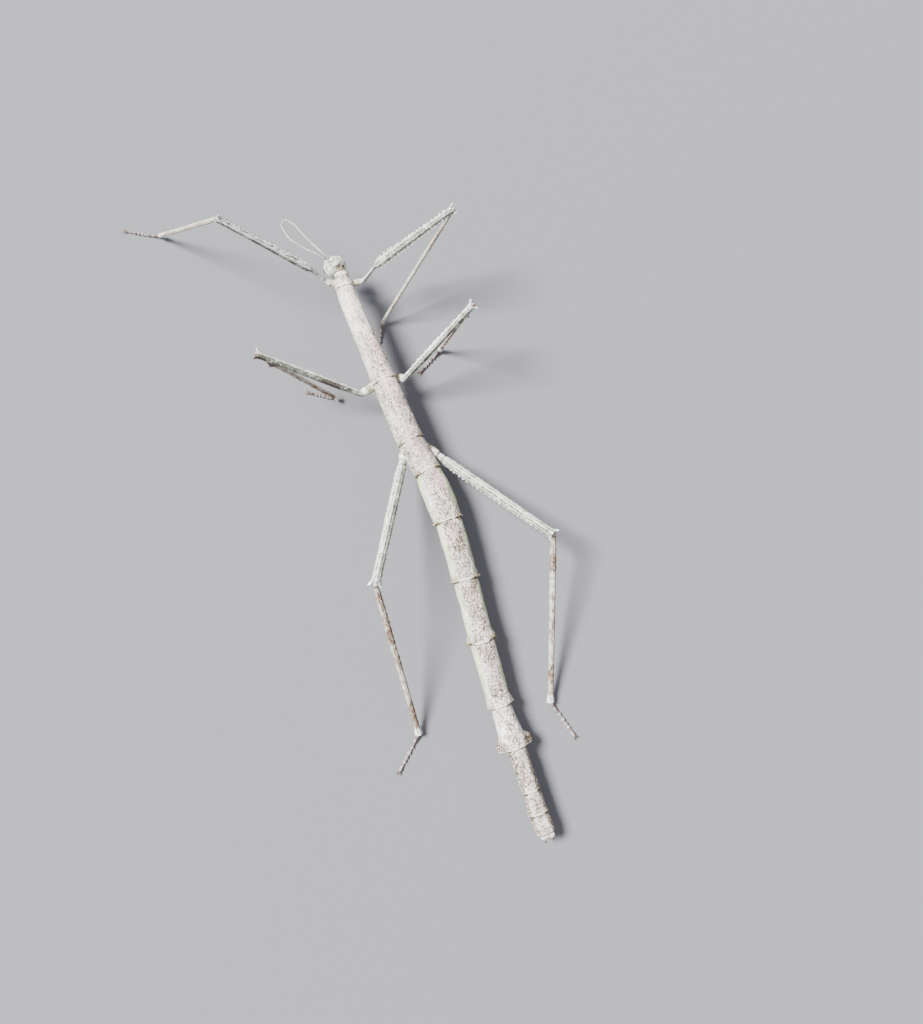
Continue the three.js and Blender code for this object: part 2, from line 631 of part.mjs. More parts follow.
function addLeg({ pair, side, root, hip, femur, roll, tibia, tarsus: tarsusBearing }) {
  const name = `${pair}_${side}`;
  const size = LEG[pair];
  const rootIndex = TRUNK.findIndex((piece) => piece.name === root);
  const trunkNear = [rootIndex, rootIndex + 1].map((index) => trunkPiece(index, GAP));
  const hipPoint = vector(hip);
  const kneePoint = hipPoint.clone().addScaledVector(heading(...femur), size.femur);
  const drop = kneePoint.z - ANKLE;
  const shinRise = -THREE.MathUtils.radToDeg(Math.asin(drop / size.tibia));
  const anklePoint = kneePoint.clone().addScaledVector(heading(tibia, shinRise), size.tibia);

  const share = { pronotum: 0.75, mesothorax: 0.97, metathorax: 0.9 }[root];
  const socket = spineAt(rootIndex + share).point.clone();
  socket.z = hipPoint.z - 0.6;
  const coxaFrame = frameAcross(hipPoint.clone().sub(socket));
  socket.addScaledVector(coxaFrame.along, COXA_INSET);
  const reach = hipPoint.distanceTo(socket) + 0.5;
  const coxaProfile = COXA_PROFILE.map(([at, w, h]) => [at, COXA[pair] * w, COXA[pair] * h]);
  const coxa = (swell) => pod(socket, coxaFrame, reach, coxaProfile, swell, 8);
  add(`coxa_${name}`, cut(coxa(0), trunkNear), FINISH.bark);

  const femurShape = {
    from: hipPoint, to: kneePoint, profile: FEMUR_PROFILE[pair], teeth: FEMUR_TEETH[pair],
    bow: pair === 'front' ? FEMUR_BOW : undefined, knee: KNEE[pair], roll,
  };
  add(`femur_${name}`, cut(limb(femurShape), [coxa(GAP), ...trunkNear]), FINISH.mint);

  const tibiaShape = {
    from: kneePoint, to: anklePoint, profile: TIBIA_PROFILE[pair], teeth: TIBIA_TEETH[pair],
  };
  add(`tibia_${name}`, cut(limb(tibiaShape), [limb({ ...femurShape, swell: GAP })]), FINISH.shin);

  const footWidth = TARSUS_WIDTH[pair];
  const foot = tarsus(anklePoint, tarsusBearing, size.tarsus, footWidth);
  add(`tarsus_${name}`, cut(foot, [limb({ ...tibiaShape, swell: GAP })]), FINISH.foot);
  add(`claws_${name}`, claws(anklePoint, tarsusBearing, size.tarsus, footWidth), FINISH.claw);
}

addTrunk();
addHead();
addTail();
STANCE.forEach(addLeg);

// The origin lies on the floor under the middle of the animal's box.
const middle = new THREE.Box3().setFromObject(animal, true).getCenter(new THREE.Vector3());
animal.position.set(-middle.x, -middle.y, 0);

export default animal;
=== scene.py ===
# %% [markdown]
# # Giant stick insect
# A wingless female phasmid, as long as a forearm, standing still on six thin legs.
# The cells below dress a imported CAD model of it: one seamless skin over the body and legs,
# two eyes, six pairs of claws, a floor and the lights. Lengths in the code are millimetres, and
# they become metres only when a mesh is made.

import bpy
import numpy as np
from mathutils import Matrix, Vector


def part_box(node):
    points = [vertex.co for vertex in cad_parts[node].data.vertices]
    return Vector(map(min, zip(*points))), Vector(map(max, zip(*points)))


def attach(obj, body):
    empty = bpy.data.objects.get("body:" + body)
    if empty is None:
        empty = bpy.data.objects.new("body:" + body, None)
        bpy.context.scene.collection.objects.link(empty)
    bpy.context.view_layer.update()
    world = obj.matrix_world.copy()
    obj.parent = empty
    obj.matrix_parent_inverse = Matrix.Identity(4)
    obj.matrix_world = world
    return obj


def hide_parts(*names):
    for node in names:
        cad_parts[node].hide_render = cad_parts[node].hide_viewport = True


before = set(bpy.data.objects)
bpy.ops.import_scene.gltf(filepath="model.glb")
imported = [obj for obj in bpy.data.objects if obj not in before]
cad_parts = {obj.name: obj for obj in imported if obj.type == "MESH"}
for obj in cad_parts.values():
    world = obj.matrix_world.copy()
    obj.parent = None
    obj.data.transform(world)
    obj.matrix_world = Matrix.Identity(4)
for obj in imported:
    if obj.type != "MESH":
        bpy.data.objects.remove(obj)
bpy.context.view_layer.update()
MM = 0.001

# %% [markdown]
# ## Directions
# Every part of the animal lies along a direction: a bearing, from straight ahead toward its right,
# and a rise. From one direction come the three axes of a section across it: along, aside and over.

# %% Directions and sections
UP = np.array([0.0, 0.0, 1.0])


def heading(bearing, rise=0.0):
    turn, lift = np.radians([bearing, rise])
    return np.array([np.cos(lift) * np.sin(turn), np.cos(lift) * np.cos(turn), np.sin(lift)])


def unit(vectors):
    return vectors / np.linalg.norm(vectors, axis=-1, keepdims=True)


def axes_across(direction):
    along = unit(np.asarray(direction, float))
    aside = unit(np.cross(along, UP))
    return along, aside, np.cross(aside, along)


def point_in(origin, axes, *far):
    """The point, or the grid of points, that lies so far along each of the axes."""
    for distance, axis in zip(far, axes):
        origin = origin + np.asarray(distance, float)[..., None] * axis
    return origin


# %% Where the plan lies in the frame
HEAD_START = np.array([1.5, 133.4, 23.2])
HEAD_AXES = axes_across(heading(-22, -34))
EYE = {"along": 4.9, "aside": 4.35, "up": 0.9, "radius": 1.25}

eye_low, eye_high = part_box("eye_left")
eye_plan = point_in(HEAD_START, HEAD_AXES, EYE["along"], -EYE["aside"], EYE["up"])
SHIFT = (np.array(eye_low) + np.array(eye_high)) / 2 / MM - eye_plan
print("plan to frame, mm:", SHIFT.round(3))

# %% [markdown]
# ## Camera
# The animal is seen from above, from a little under half a metre, with its head toward the upper
# left. The camera comes first, so that every later step is judged in the same view.

# %% Camera
CAMERA = {"lens": 31.64, "sensor": 36, "place": [-14.806, -28.513, 422.467], "turn": [6.5288, -1.9915, -20.8249]}

camera_data = bpy.data.cameras.new("camera")
camera_data.lens, camera_data.sensor_width = CAMERA["lens"], CAMERA["sensor"]
camera = bpy.data.objects.new("camera", camera_data)
camera.location = (np.array(CAMERA["place"]) + SHIFT * [1, 1, 0]) * MM
camera.rotation_euler = np.radians(CAMERA["turn"])
bpy.context.scene.collection.objects.link(camera)
bpy.context.scene.camera = camera
print("camera at, m:", [round(v, 3) for v in camera.location])

# %% [markdown]
# ## Smooth curves
# A part's outline is given at a few shares of its length. A monotone cubic runs through them
# without overshooting, so that a shell stays as slim as its numbers say. The body's centreline is
# a centripetal Catmull-Rom curve, which passes through each joint and doesn't loop.

# %% Smooth outlines
NUDGE = 1e-3  # the share of a step ahead and behind at which a curve's direction is measured


def bump(x, width):
    return np.exp(-((x / width) ** 2))


def smoothstep(x, low, high):
    t = np.clip((x - low) / (high - low), 0, 1)
    return t * t * (3 - 2 * t)


def outline(stations, column, at):
    """The column's value at shares of the length, from rows that each start with a share."""
    x = np.array([row[0] for row in stations], float)
    y = np.array([row[column] for row in stations], float)
    step = np.diff(x)
    slope = np.diff(y) / step
    lean = np.zeros(len(x))
    same = slope[1:] * slope[:-1] > 0
    safe = np.where(same, slope[1:] + slope[:-1], 1)
    lean[1:-1] = np.where(same, 2 * slope[1:] * slope[:-1] / safe, 0)
    lean[0], lean[-1] = slope[0], slope[-1]
    at = np.clip(at, x[0], x[-1])
    k = np.clip(np.searchsorted(x, at, side="right") - 1, 0, len(step) - 1)
    t = (at - x[k]) / step[k]
    return (
        y[k] * (1 + 2 * t) * (1 - t) ** 2 + y[k + 1] * t * t * (3 - 2 * t)
        + step[k] * (lean[k] * t * (1 - t) ** 2 + lean[k + 1] * t * t * (t - 1))
    )


def thread(knots, places):
    """Points on a centripetal Catmull-Rom curve. A place is a knot's number plus a share."""
    knots = np.asarray(knots, float)
    held = np.vstack([2 * knots[0] - knots[1], knots, 2 * knots[-1] - knots[-2]])
    k = np.clip(np.floor(places).astype(int), 0, len(knots) - 2)
    t = (places - k)[..., None]
    p0, p1, p2, p3 = (held[k + i] for i in range(4))
    d0, d1, d2 = (
        np.sqrt(np.linalg.norm(b - a, axis=-1, keepdims=True)) for a, b in ((p0, p1), (p1, p2), (p2, p3))
    )
    lean1 = ((p1 - p0) / d0 - (p2 - p0) / (d0 + d1) + (p2 - p1) / d1) * d1
    lean2 = ((p2 - p1) / d1 - (p3 - p1) / (d1 + d2) + (p3 - p2) / d2) * d1
    c2 = -3 * p1 + 3 * p2 - 2 * lean1 - lean2
    c3 = 2 * p1 - 2 * p2 + lean1 + lean2
    return p1 + lean1 * t + c2 * t**2 + c3 * t**3


# %% [markdown]
# Nothing on the animal is quite even, so many of its measures waver. The noise here gives each
# corner of a grid of cells a number worked out from its place and a seed, and blends between the
# corners. The same place always gets the same number, so the animal is the same on every run.

# %% Noise
def grid(*parts):
    return np.stack(np.broadcast_arrays(*parts), -1)


def noise(points, size, seed=0):
    """Smooth noise from -1 to 1 at points of any shape (..., 3), with features of that size."""
    place = points / size
    cell = np.floor(place).astype(np.int64)
    part = place - cell
    ease = part * part * (3 - 2 * part)
    total = np.zeros(points.shape[:-1])
    for corner in np.ndindex(2, 2, 2):
        x, y, z = np.moveaxis(cell + corner, -1, 0)
        code = (x * 73856093) ^ (y * 19349663) ^ (z * 83492791) ^ (seed * 40503 + 977)
        code = ((code ^ (code >> 13)) * 1274126177) & 0xFFFFFFFF
        value = ((code ^ (code >> 16)) & 0xFFFF) / 32767.5 - 1
        total += value * np.prod(np.where(corner, ease, 1 - ease), axis=-1)
    return total


# %% [markdown]
# ## Tubes that remember
# Each part is a tube of many rings. Besides its place, every point remembers facts that the
# finish needs later: its zone (trunk, head, thigh ...), its lay (where it is in the part's own
# axes), where it is round the part, how much it is a crest, a seam or a hollow, its tints and
# its marks (how thick the freckles lie, dark ink and bright white). They travel with the mesh as
# attributes, also through a Boolean union.

# %% Tubes
ZONES = ["none", "trunk", "head", "hip", "femur", "tibia", "tarsus", "feeler", "mouth", "tail"]
FACTS = ["lay", "where", "form", "tints", "marks"]


def tube(zone, points, lay, where, crest=0, seam=0, green=0, rosy=0, stain=0, freckle=0.5, ink=0, bright=0):
    """A grid of points with its facts. The lay is three lengths, where is share, flank and rise."""
    stack = lambda *parts: grid(np.zeros(points.shape[:2]), *(np.asarray(part, float) for part in parts))[..., 1:]
    within = lambda *parts: stack(*(np.clip(part, 0, 1) for part in parts))
    return {
        "zone": ZONES.index(zone), "points": points, "lay": stack(*lay), "where": stack(*where),
        "form": within(crest, seam, 0), "tints": within(green, rosy, stain), "marks": within(freckle, ink, bright),
    }


def ring_of(sides, keels=0.0):
    """Angles round a section, with cosines and sines. keels draws them together at its two sides."""
    even = np.arange(sides) * 2 * np.pi / sides
    theta = (even - keels / 2 * np.sin(2 * even))[None, :]
    return theta, np.cos(theta), np.sin(theta)


def steps(length, pitch, fine=(), fine_pitch=0.12, reach=0.9):
    """Distances along a part: evenly spaced, and finer near the given places."""
    marks = [np.arange(0, length + pitch / 2, pitch)]
    for place in fine:
        marks.append(np.arange(place - reach, place + reach, fine_pitch))
    marks = np.unique(np.clip(np.hstack([*marks, length]), 0, length).round(4))
    keep = np.hstack([True, np.diff(marks) > fine_pitch * 0.6])
    keep[-1] = True
    return marks[keep]


# %% From tubes to a mesh
def tube_faces(points, start):
    """Quads between the rings and a fan on each end, all facing outward."""
    rings, sides = points.shape[:2]
    numbers = np.arange(rings * sides).reshape(rings, sides) + start
    turned = np.roll(numbers, -1, axis=1)
    quads = np.stack([numbers[:-1], turned[:-1], turned[1:], numbers[1:]], -1).reshape(-1, 4)
    first, last = start + rings * sides, start + rings * sides + 1
    fans = [(first, b, a) for a, b in zip(numbers[0], turned[0])]
    fans += [(last, a, b) for a, b in zip(numbers[-1], turned[-1])]
    flat = points.reshape(-1, 3)
    corner = [flat[quads[:, i] - start] for i in range(4)]
    inside = (corner[0] * np.cross(corner[2] - corner[0], corner[3] - corner[1])).sum() < 0
    both = quads.tolist() + [tuple(int(i) for i in fan) for fan in fans]
    return [face[::-1] for face in both] if inside else both


def tube_mesh(name, tubes):
    values = {key: [] for key in ["points", "zone", *FACTS]}
    faces, start = [], 0
    for part in tubes:
        count = part["points"][..., 0].size + 2
        faces += tube_faces(part["points"], start)
        values["zone"].append(np.full(count, part["zone"], float))
        for key in ["points", *FACTS]:
            values[key].append(np.vstack([part[key].reshape(-1, 3), part[key][[0, -1]].mean(axis=1)]))
        start += count
    mesh = bpy.data.meshes.new(name)
    mesh.from_pydata(((np.vstack(values["points"]) + SHIFT) * MM).tolist(), [], faces)
    mesh.attributes.new("zone", "FLOAT", "POINT").data.foreach_set("value", np.hstack(values["zone"]))
    for key in FACTS:
        mesh.attributes.new(key, "FLOAT_VECTOR", "POINT").data.foreach_set("vector", np.vstack(values[key]).ravel())
    mesh.update()
    return mesh


def shape_object(name, mesh):
    shape = bpy.data.objects.new(name, mesh)
    bpy.context.scene.collection.objects.link(shape)
    return shape


# %% [markdown]
# ## The trunk
# The body is a chain of shells: a short neck, the three rings of the thorax and the abdomen's ten.
# They are made as one loft along the centreline, because in life one skin runs over them all. At
# each joint the shell in front ends in a raised lip, a thin dark groove follows, and the next shell
# starts a little lower. The joints aren't straight: their line bends with the body's own curve.
# The neck's rear half is already as wide as the pronotum's raised front rim, so that only a thin
# bar of it shows behind the head, brown and darkened by painted shade.

# %% The trunk's numbers
# name, length, turn, height at its rear, depth over width, outline of share, width and side fin
TRUNK = [
    ("neck", 3.5, 5, 22.4, 0.92, [[0, 4.9, 0], [0.42, 5.0, 0], [0.55, 6.0, 0], [0.8, 6.2, 0], [1, 5.8, 0]]),
    ("pronotum", 5.7, 6.5, 22, 0.86,
     [[0, 5.9, 0], [0.1, 6.3, 0], [0.2, 6.2, 0], [0.55, 7.5, 0], [0.85, 8.0, 0], [1, 7.8, 0]]),
    ("mesothorax", 46.5, -2.5, 18.5, 0.86,
     [[0, 7.8, 0], [0.03, 8.3, 0], [0.35, 9.2, 0], [0.7, 10.2, 0], [0.94, 11.0, 0], [1, 10.6, 0]]),
    ("metathorax", 30.3, -3.2, 16, 0.85,
     [[0, 10.6, 0], [0.05, 11.2, 0], [0.4, 11.9, 0], [0.75, 12.1, 0], [0.95, 12.3, 0], [1, 11.9, 0]]),
    ("median_segment", 16, -8.2, 15, 0.84,
     [[0, 11.6, 0], [0.08, 12.0, 0], [0.5, 12.3, 0], [0.92, 12.5, 0], [1, 12.2, 0]]),
    ("abdomen_2", 24.2, -1.9, 13.5, 0.8,
     [[0, 11.6, 0], [0.06, 12.0, 0.1], [0.35, 13.3, 0.1], [0.65, 13.5, 0.1], [0.9, 12.5, 0.3], [1, 12.4, 0.4]]),
    ("abdomen_3", 28, 4.7, 12.5, 0.8,
     [[0, 11.4, 0], [0.05, 11.7, 0.1], [0.4, 11.8, 0.1], [0.8, 11.3, 0.2], [0.95, 11.7, 0.5], [1, 11.6, 0.5]]),
    ("abdomen_4", 28.6, 5.4, 11.5, 0.8,
     [[0, 10.7, 0], [0.05, 10.9, 0.1], [0.4, 10.8, 0.1], [0.8, 11.1, 0.2], [0.95, 12.1, 0.5], [1, 11.9, 0.5]]),
    ("abdomen_5", 29.7, 4.4, 10.5, 0.8,
     [[0, 10.6, 0], [0.05, 10.9, 0.1], [0.4, 10.8, 0.1], [0.8, 10.2, 0.2], [0.95, 10.9, 0.5], [1, 10.7, 0.5]]),
    ("abdomen_6", 20.5, 0.8, 10, 0.8,
     [[0, 8.6, 0], [0.08, 9.0, 0], [0.4, 10.0, 0.1], [0.66, 11.0, 0.3], [0.83, 12.9, 1.7], [0.95, 12.6, 1.5],
      [1, 11.4, 0.9]]),
    ("abdomen_7", 20.1, 0.9, 9.5, 0.86, [[0, 8.8, 0], [0.1, 8.6, 0], [0.5, 8.2, 0], [0.9, 8.2, 0.1], [1, 8.1, 0.1]]),
    ("abdomen_8", 10.3, 3.3, 9, 0.84, [[0, 7.9, 0], [0.15, 8.1, 0], [0.6, 8.4, 0], [0.9, 8.8, 0.1], [1, 8.6, 0.1]]),
    ("abdomen_9", 6.1, -1, 9, 0.78, [[0, 8.2, 0], [0.2, 8.6, 0], [0.8, 8.8, 0.1], [1, 8.6, 0.1]]),
    ("abdomen_10", 5.4, -2, 9, 0.66, [[0, 8.1, 0], [0.3, 8.2, 0], [0.75, 7.4, 0], [1, 5.8, 0]]),
]
TRUNK_START = np.array([2.1, 133.9, 22.7])
SHELLS = [shell[0] for shell in TRUNK]
LENGTHS = np.array([shell[1] for shell in TRUNK])
ENDS = np.hstack([0, np.cumsum(LENGTHS)])
COLLAR, TAIL_END = ENDS[SHELLS.index("abdomen_6")], ENDS[-1]
print("shells:", len(SHELLS), "with the collar's at", COLLAR.round(1), "mm")


# %% The centreline
def trunk_joints():
    joints = [TRUNK_START]
    for _, length, turn, height, _, _ in TRUNK:
        drop = height - joints[-1][2]
        joints.append(joints[-1] + heading(180 + turn) * np.sqrt(length**2 - drop**2) + UP * drop)
    return np.array(joints)


JOINTS = trunk_joints()


def spine_at(places):
    """The centreline's points and section axes at shell numbers plus a share."""
    places = np.asarray(places, float)
    held = np.clip(places, 0, len(TRUNK))
    ahead = thread(JOINTS, np.clip(held - NUDGE, 0, None))
    behind = thread(JOINTS, np.clip(held + NUDGE, None, len(TRUNK)))
    axes = axes_across(ahead - behind)
    beyond = (held - places) * LENGTHS[np.where(held == 0, 0, -1)]
    return thread(JOINTS, held) + beyond[..., None] * axes[0], axes


print("trunk, mm:", LENGTHS.sum().round(1), "from", JOINTS[0], "to", JOINTS[-1].round(1))

# %% [markdown]
# A joint's own features are named here: how far the middle of its line bows toward the head, how
# high its lip stands, how deep its groove is, how much it is scalloped, how stained its two ends
# are and how far a knob stands out there. The fourth abdominal shell ends in three rounded lobes,
# and the sixth in a ragged collar.

# %% The trunk's joints
# joint after shell: (bow toward the head, lip height, groove depth, scallop, stain at the two ends, side knob)
JOINT_LINES = {
    "neck": (0.2, 0.1, 0.3, 0, 0.15, 0), "pronotum": (0.6, 0.14, 0.26, 0, 0.3, 0.1),
    "mesothorax": (0.7, 0.18, 0.2, 0, 0.35, 0.3), "metathorax": (0.8, 0.14, 0.2, 0, 0.7, 0.35),
    "median_segment": (0.6, 0.14, 0.2, 0, 0.95, 0.35), "abdomen_2": (0.35, 0.16, 0.26, 0.15, 1.0, 0.5),
    "abdomen_3": (0.1, 0.18, 0.26, 0.2, 0.9, 0.5), "abdomen_4": (-0.4, 0.26, 0.3, 1.0, 0.85, 0.5),
    "abdomen_5": (-0.6, 0.26, 0.26, 0.1, 0.5, 0.4), "abdomen_6": (0.2, 0.2, 0.3, 0.3, 0.2, 0),
    "abdomen_7": (0.3, 0.06, 0.12, 0.15, 0.5, 0.1), "abdomen_8": (0.2, 0.07, 0.14, 0.25, 0.4, 0.12),
    "abdomen_9": (-0.2, 0.02, 0.03, 0.2, 0, 0),
}
DARK_IN_THE_MIDDLE = ("abdomen_7", "abdomen_8", "pronotum")
print("joints:", len(JOINT_LINES))


def joint_features(marks, theta, side, over):
    """What the joints do round each ring: a slide ahead, a swelling, a dark seam, a pale crest, a stain."""
    slide, swell, seam, crest, stain = (np.zeros((len(marks), theta.size)) for _ in range(5))
    for k, (name, (bow, lip, groove, scallop, mark, knob)) in enumerate(JOINT_LINES.items()):
        past = (marks - ENDS[k + 1])[:, None]
        uneven = lambda along, times, size, seed: noise(grid(along, times * side, times * over), size, seed + k)
        worn = 0.1 if name == "abdomen_9" else 1.0
        middle = 0.9 if name in DARK_IN_THE_MIDDLE else 0.4
        ends = smoothstep(np.abs(side), 0.35, 0.7) * (over > -0.4)
        dorsal = 0.6 + 0.4 * np.clip(over + 0.6, 0, 1)

        lobes = scallop * (0.5 - np.abs(np.cos(1.5 * (theta - np.pi / 2)))) * (over > -0.2)
        crooked = 0.16 * uneven(0 * past, 5, 1.1, 0)
        slide += (-(bow * np.clip(over, 0, 1) ** 1.5 + lobes) + crooked) * bump(past, 3.5)
        swell += lip * (0.7 * bump(past + 0.75, 0.6) + 0.3 * bump(past + 1.2, 1.5)) * (past < 0.02) * dorsal
        swell -= groove * bump(past - 0.2, 0.26) * dorsal
        knobs = smoothstep(np.abs(side), 0.72, 0.97) * (0.75 + 0.5 * uneven(past, 3, 0.8, 40))
        swell += knob * knobs * bump(past + 0.5, 0.75) * (past < 0.05)

        broken = np.clip(0.55 + 0.6 * uneven(0 * past, 6, 0.9, 20), 0.15, 1)
        seam += worn * bump(past - 0.2, 0.2 + 0.2 * ends) * (broken * middle * (1 - ends) + ends)
        crest += 0.9 * worn * bump(past + 0.5, 0.45) * (past < 0.02) * (1 - 0.8 * ends * mark)
        patchy = 0.7 + 0.7 * uneven(past, 4, 1.1, 60)
        stain += mark * ends * np.clip(patchy + 0.35 + 0.4 * (side > 0), 0, 1.3) * bump(past + 0.35, 1.4)
    return slide, swell, seam, crest, stain


# %% [markdown]
# The trunk's colours follow its shells. Green bands run along the abdomen's sides and fade toward
# each shell's rear. Rosy clouds lie a little right of the middle. Freckles are nearly missing on
# the front of the mesothorax, and thickest on the abdomen's seventh shell. Three of its shells
# carry a pair of dark points, and its sixth some dark rings.

# %% Where the trunk's markings lie
# shell number, reach and amount of each rosy cloud
ROSY_CLOUDS = [
    (1.5, 0.35, 0.6), (2.25, 0.2, 0.7), (2.7, 0.2, 0.8), (3.2, 0.25, 0.8), (4.2, 0.5, 0.9), (5.2, 0.2, 1.2),
    (6.25, 0.3, 1.0), (7.35, 0.35, 1.1), (8.3, 0.3, 0.8),
]
# shell number and how thick the freckles lie there
FRECKLES = [
    (0, 0.4), (1.5, 0.4), (2.05, 0.25), (2.3, 0.2), (2.6, 0.4), (3.0, 0.46), (3.5, 0.52), (4.0, 0.6), (5.0, 0.56),
    (5.3, 0.56), (6.0, 0.74), (9.0, 0.66), (9.6, 0.36), (10.0, 0.85), (10.9, 0.8), (11.2, 0.62), (14.0, 0.6),
]
POINT_PAIRS = (6.72, 7.8, 8.74)
# share of the sixth abdominal shell, and millimetres to the right
RINGS = ((0.5, 1.5), (0.66, -2.2), (0.62, 3.4), (0.78, 0.6))
print("rosy clouds:", len(ROSY_CLOUDS), "pairs of points:", len(POINT_PAIRS), "rings:", len(RINGS))


def trunk_marks(number, share, side, over, lay):
    """Tints and marks from the shell number, the share, the place round the section and the lay."""
    abdomen = smoothstep(number, 4.6, 5.2) * (1 - smoothstep(number, 8.6, 9.4))
    waver = 0.14 * noise(lay * [1, 0.5, 0.5], 4.0, 33)
    bands = smoothstep(-side + waver, 0.34, 0.74) + smoothstep(side + waver, 0.52, 0.9)
    bands = abdomen * bands * (over > -0.5) * (1 - 0.6 * smoothstep(share, 0.55, 0.95))
    clouds = sum(amount * bump(number - at, reach) for at, reach, amount in ROSY_CLOUDS)
    thick = np.interp(number, *zip(*FRECKLES)) * (1 - 0.85 * np.clip(bands, 0, 1))
    pairs = sum(bump(number - at - 0.012 * np.sign(side), 0.016) for at in POINT_PAIRS)
    rings = sum(
        bump(np.hypot((number - 9 - at) * LENGTHS[9], lay[..., 1] - to) - 0.85, 0.26) * (over > 0) for at, to in RINGS
    )
    return {
        "green": bands * (0.7 + 0.75 * noise(lay, 4.0, 31)) + 0.5 * (1 - abdomen) * smoothstep(-side, 0.62, 0.95),
        "rosy": clouds * bump(side - 0.3, 0.45) * (over > 0),
        "freckle": thick * (0.9 + 0.55 * noise(lay * [0.7, 1, 1], 3.6, 32)) + 0.1 * (over < 0),
        "ink": pairs * bump(np.abs(side - 0.03) - 0.34, 0.1) * (over > 0) + 0.95 * rings,
        "bright": 0.4 * bump(number - 2.2, 0.25),
    }


# %% [markdown]
# A shell's section isn't a circle. It is a little boxy, with a fine keel along the back, a sharp
# edge and a fold on each side and a flatter belly, and the collar's sides are thin fins. Because
# all of it is one formula of the angle, every ring keeps the same points, and the quads run
# smoothly from the neck to the tail.

# %% The trunk's loft
DEPTH_BLEND = 25  # rings over which one shell's depth passes into the next one's


def trunk_sections(shell, share):
    """Width, side fin, and depth over width, at each ring."""
    width, fin, deep = (np.zeros(len(share)) for _ in range(3))
    for k, (_, _, _, _, depth, profile) in enumerate(TRUNK):
        on = shell == k
        width[on], fin[on], deep[on] = outline(profile, 1, share[on]), outline(profile, 2, share[on]), depth
    padded = np.pad(deep, DEPTH_BLEND // 2, mode="edge")
    return width, fin, np.convolve(padded, np.ones(DEPTH_BLEND) / DEPTH_BLEND, "valid")


def trunk_tube(sides=128, pitch=0.5):
    marks = steps(TAIL_END, pitch, fine=ENDS[1:-1], fine_pitch=0.13, reach=1.1)
    shell = np.clip(np.searchsorted(ENDS, marks, side="right") - 1, 0, len(TRUNK) - 1)
    share = (marks - ENDS[shell]) / LENGTHS[shell]
    theta, side, over = ring_of(sides)
    width, fin, deep = trunk_sections(shell, share)
    slide, swell, seam, crest, stain = joint_features(marks, theta, side, over)

    # The section: boxy, with its keel, edges, folds and fins.
    boxiness = 2.35
    half = (width / 2)[:, None]
    tall = (np.maximum(width - fin, width * 0.94) * deep / 2)[:, None]
    boxy = (np.abs(side) ** boxiness + np.abs(over) ** boxiness) ** (-1 / boxiness)
    place, number = marks[:, None], (shell + share)[:, None]
    thorax = smoothstep(place, 8, 14) * (1 - smoothstep(place, 84, 90))
    keel = bump(side, 0.035) * (over > 0) * (0.10 * thorax + 0.03)
    edge = bump(over + 0.12, 0.05)
    pleat = bump(over + 0.26, 0.07)
    grow = swell + keel + 0.14 * edge - 0.16 * pleat * smoothstep(place, 9, 12)
    wing = fin[:, None] * bump(over, 0.2) * np.sign(side)
    aside = half * side * boxy + grow * side + wing + 0.22 * bump(number - 7.2, 1.1)

    # Two grooves on the pronotum: one behind its rim, and a slanting one on its right.
    behind_rim = bump(number - 1.17, 0.035) * (over > -0.3)
    oblique = bump(number - 1.46 - 0.3 * (side - 0.4), 0.022) * smoothstep(side, 0.0, 0.15)
    oblique = oblique * smoothstep(-side, -0.85, -0.7) * (over > 0)
    lift = tall * over * boxy * np.where(over < 0, 0.9, 1) + grow * over - 0.22 * behind_rim * over - 0.16 * oblique

    # The collar's edge is ragged: its thin sides wave in and out a little and turn down.
    collar = bump(place - (COLLAR + 17.4), 2.6) * smoothstep(np.abs(side), 0.55, 0.95)
    ragged = np.sin(place * 1.9 + 1.3 * np.sign(side)) * 0.24
    ragged = ragged + 0.5 * (side < 0) * smoothstep(place, COLLAR + 17, COLLAR + 19.6)
    aside = aside + collar * ragged * np.sign(side)
    lift = lift - collar * 0.5

    # The tail's end is drawn in, to leave room for its lobes.
    last = smoothstep(place, TAIL_END - 3.0, TAIL_END)
    slide = slide - 2.0 * last

    # The neck is brown and carries painted shade where it shows behind the head, the tail's rim is
    # ruddy with painted shade under the lobes, and the tail's flanks are more freckled and carry painted shade.
    tints = trunk_marks(number, share[:, None], side, over, grid(place, aside, lift))
    neck = smoothstep(-number, -0.55, -0.45)
    ruddy_and_shaded_rim = smoothstep(place, TAIL_END - 1.2, TAIL_END - 0.1)
    freckled_and_shaded_flanks = smoothstep(np.abs(side), 0.45, 0.85) * smoothstep(number, 10.0, 10.3)
    tints["rosy"] = tints["rosy"] + collar + neck + 0.6 * last + 0.1 * freckled_and_shaded_flanks
    tints["freckle"] = tints["freckle"] + 0.3 * freckled_and_shaded_flanks + 0.4 * collar
    tints["ink"] = tints["ink"] + 0.55 * neck + 0.5 * ruddy_and_shaded_rim
    tints["bright"] = tints["bright"] + 0.65 * bump(number - 9.4, 0.4) * (1 - freckled_and_shaded_flanks)
    point, axes = spine_at(shell + share)
    points = point_in(point[:, None], [axis[:, None] for axis in axes], -slide, aside, lift)
    return tube(
        "trunk", points, (place, aside, lift), (number, side, over),
        crest=crest + 0.35 * edge + 0.4 * keel / 0.13, seam=seam + 0.5 * behind_rim + 0.55 * oblique,
        stain=stain + 0.7 * collar + 0.9 * neck + 0.9 * ruddy_and_shaded_rim + 0.3 * freckled_and_shaded_flanks, **tints,
    )


trunk = trunk_tube()
print("trunk points:", trunk["points"].shape)

# %% [markdown]
# ## The head
# The head is a rounded capsule that nods forward and turns a little to the left. A plain egg would
# look dead, so the loft carries the folds of the real one: a furrow over the crown with a swelling
# on each side of it, cheeks, a rim round each eye and each antenna's root, and a pair of warts
# between them. They are added along the surface's outward direction, each from its own place.

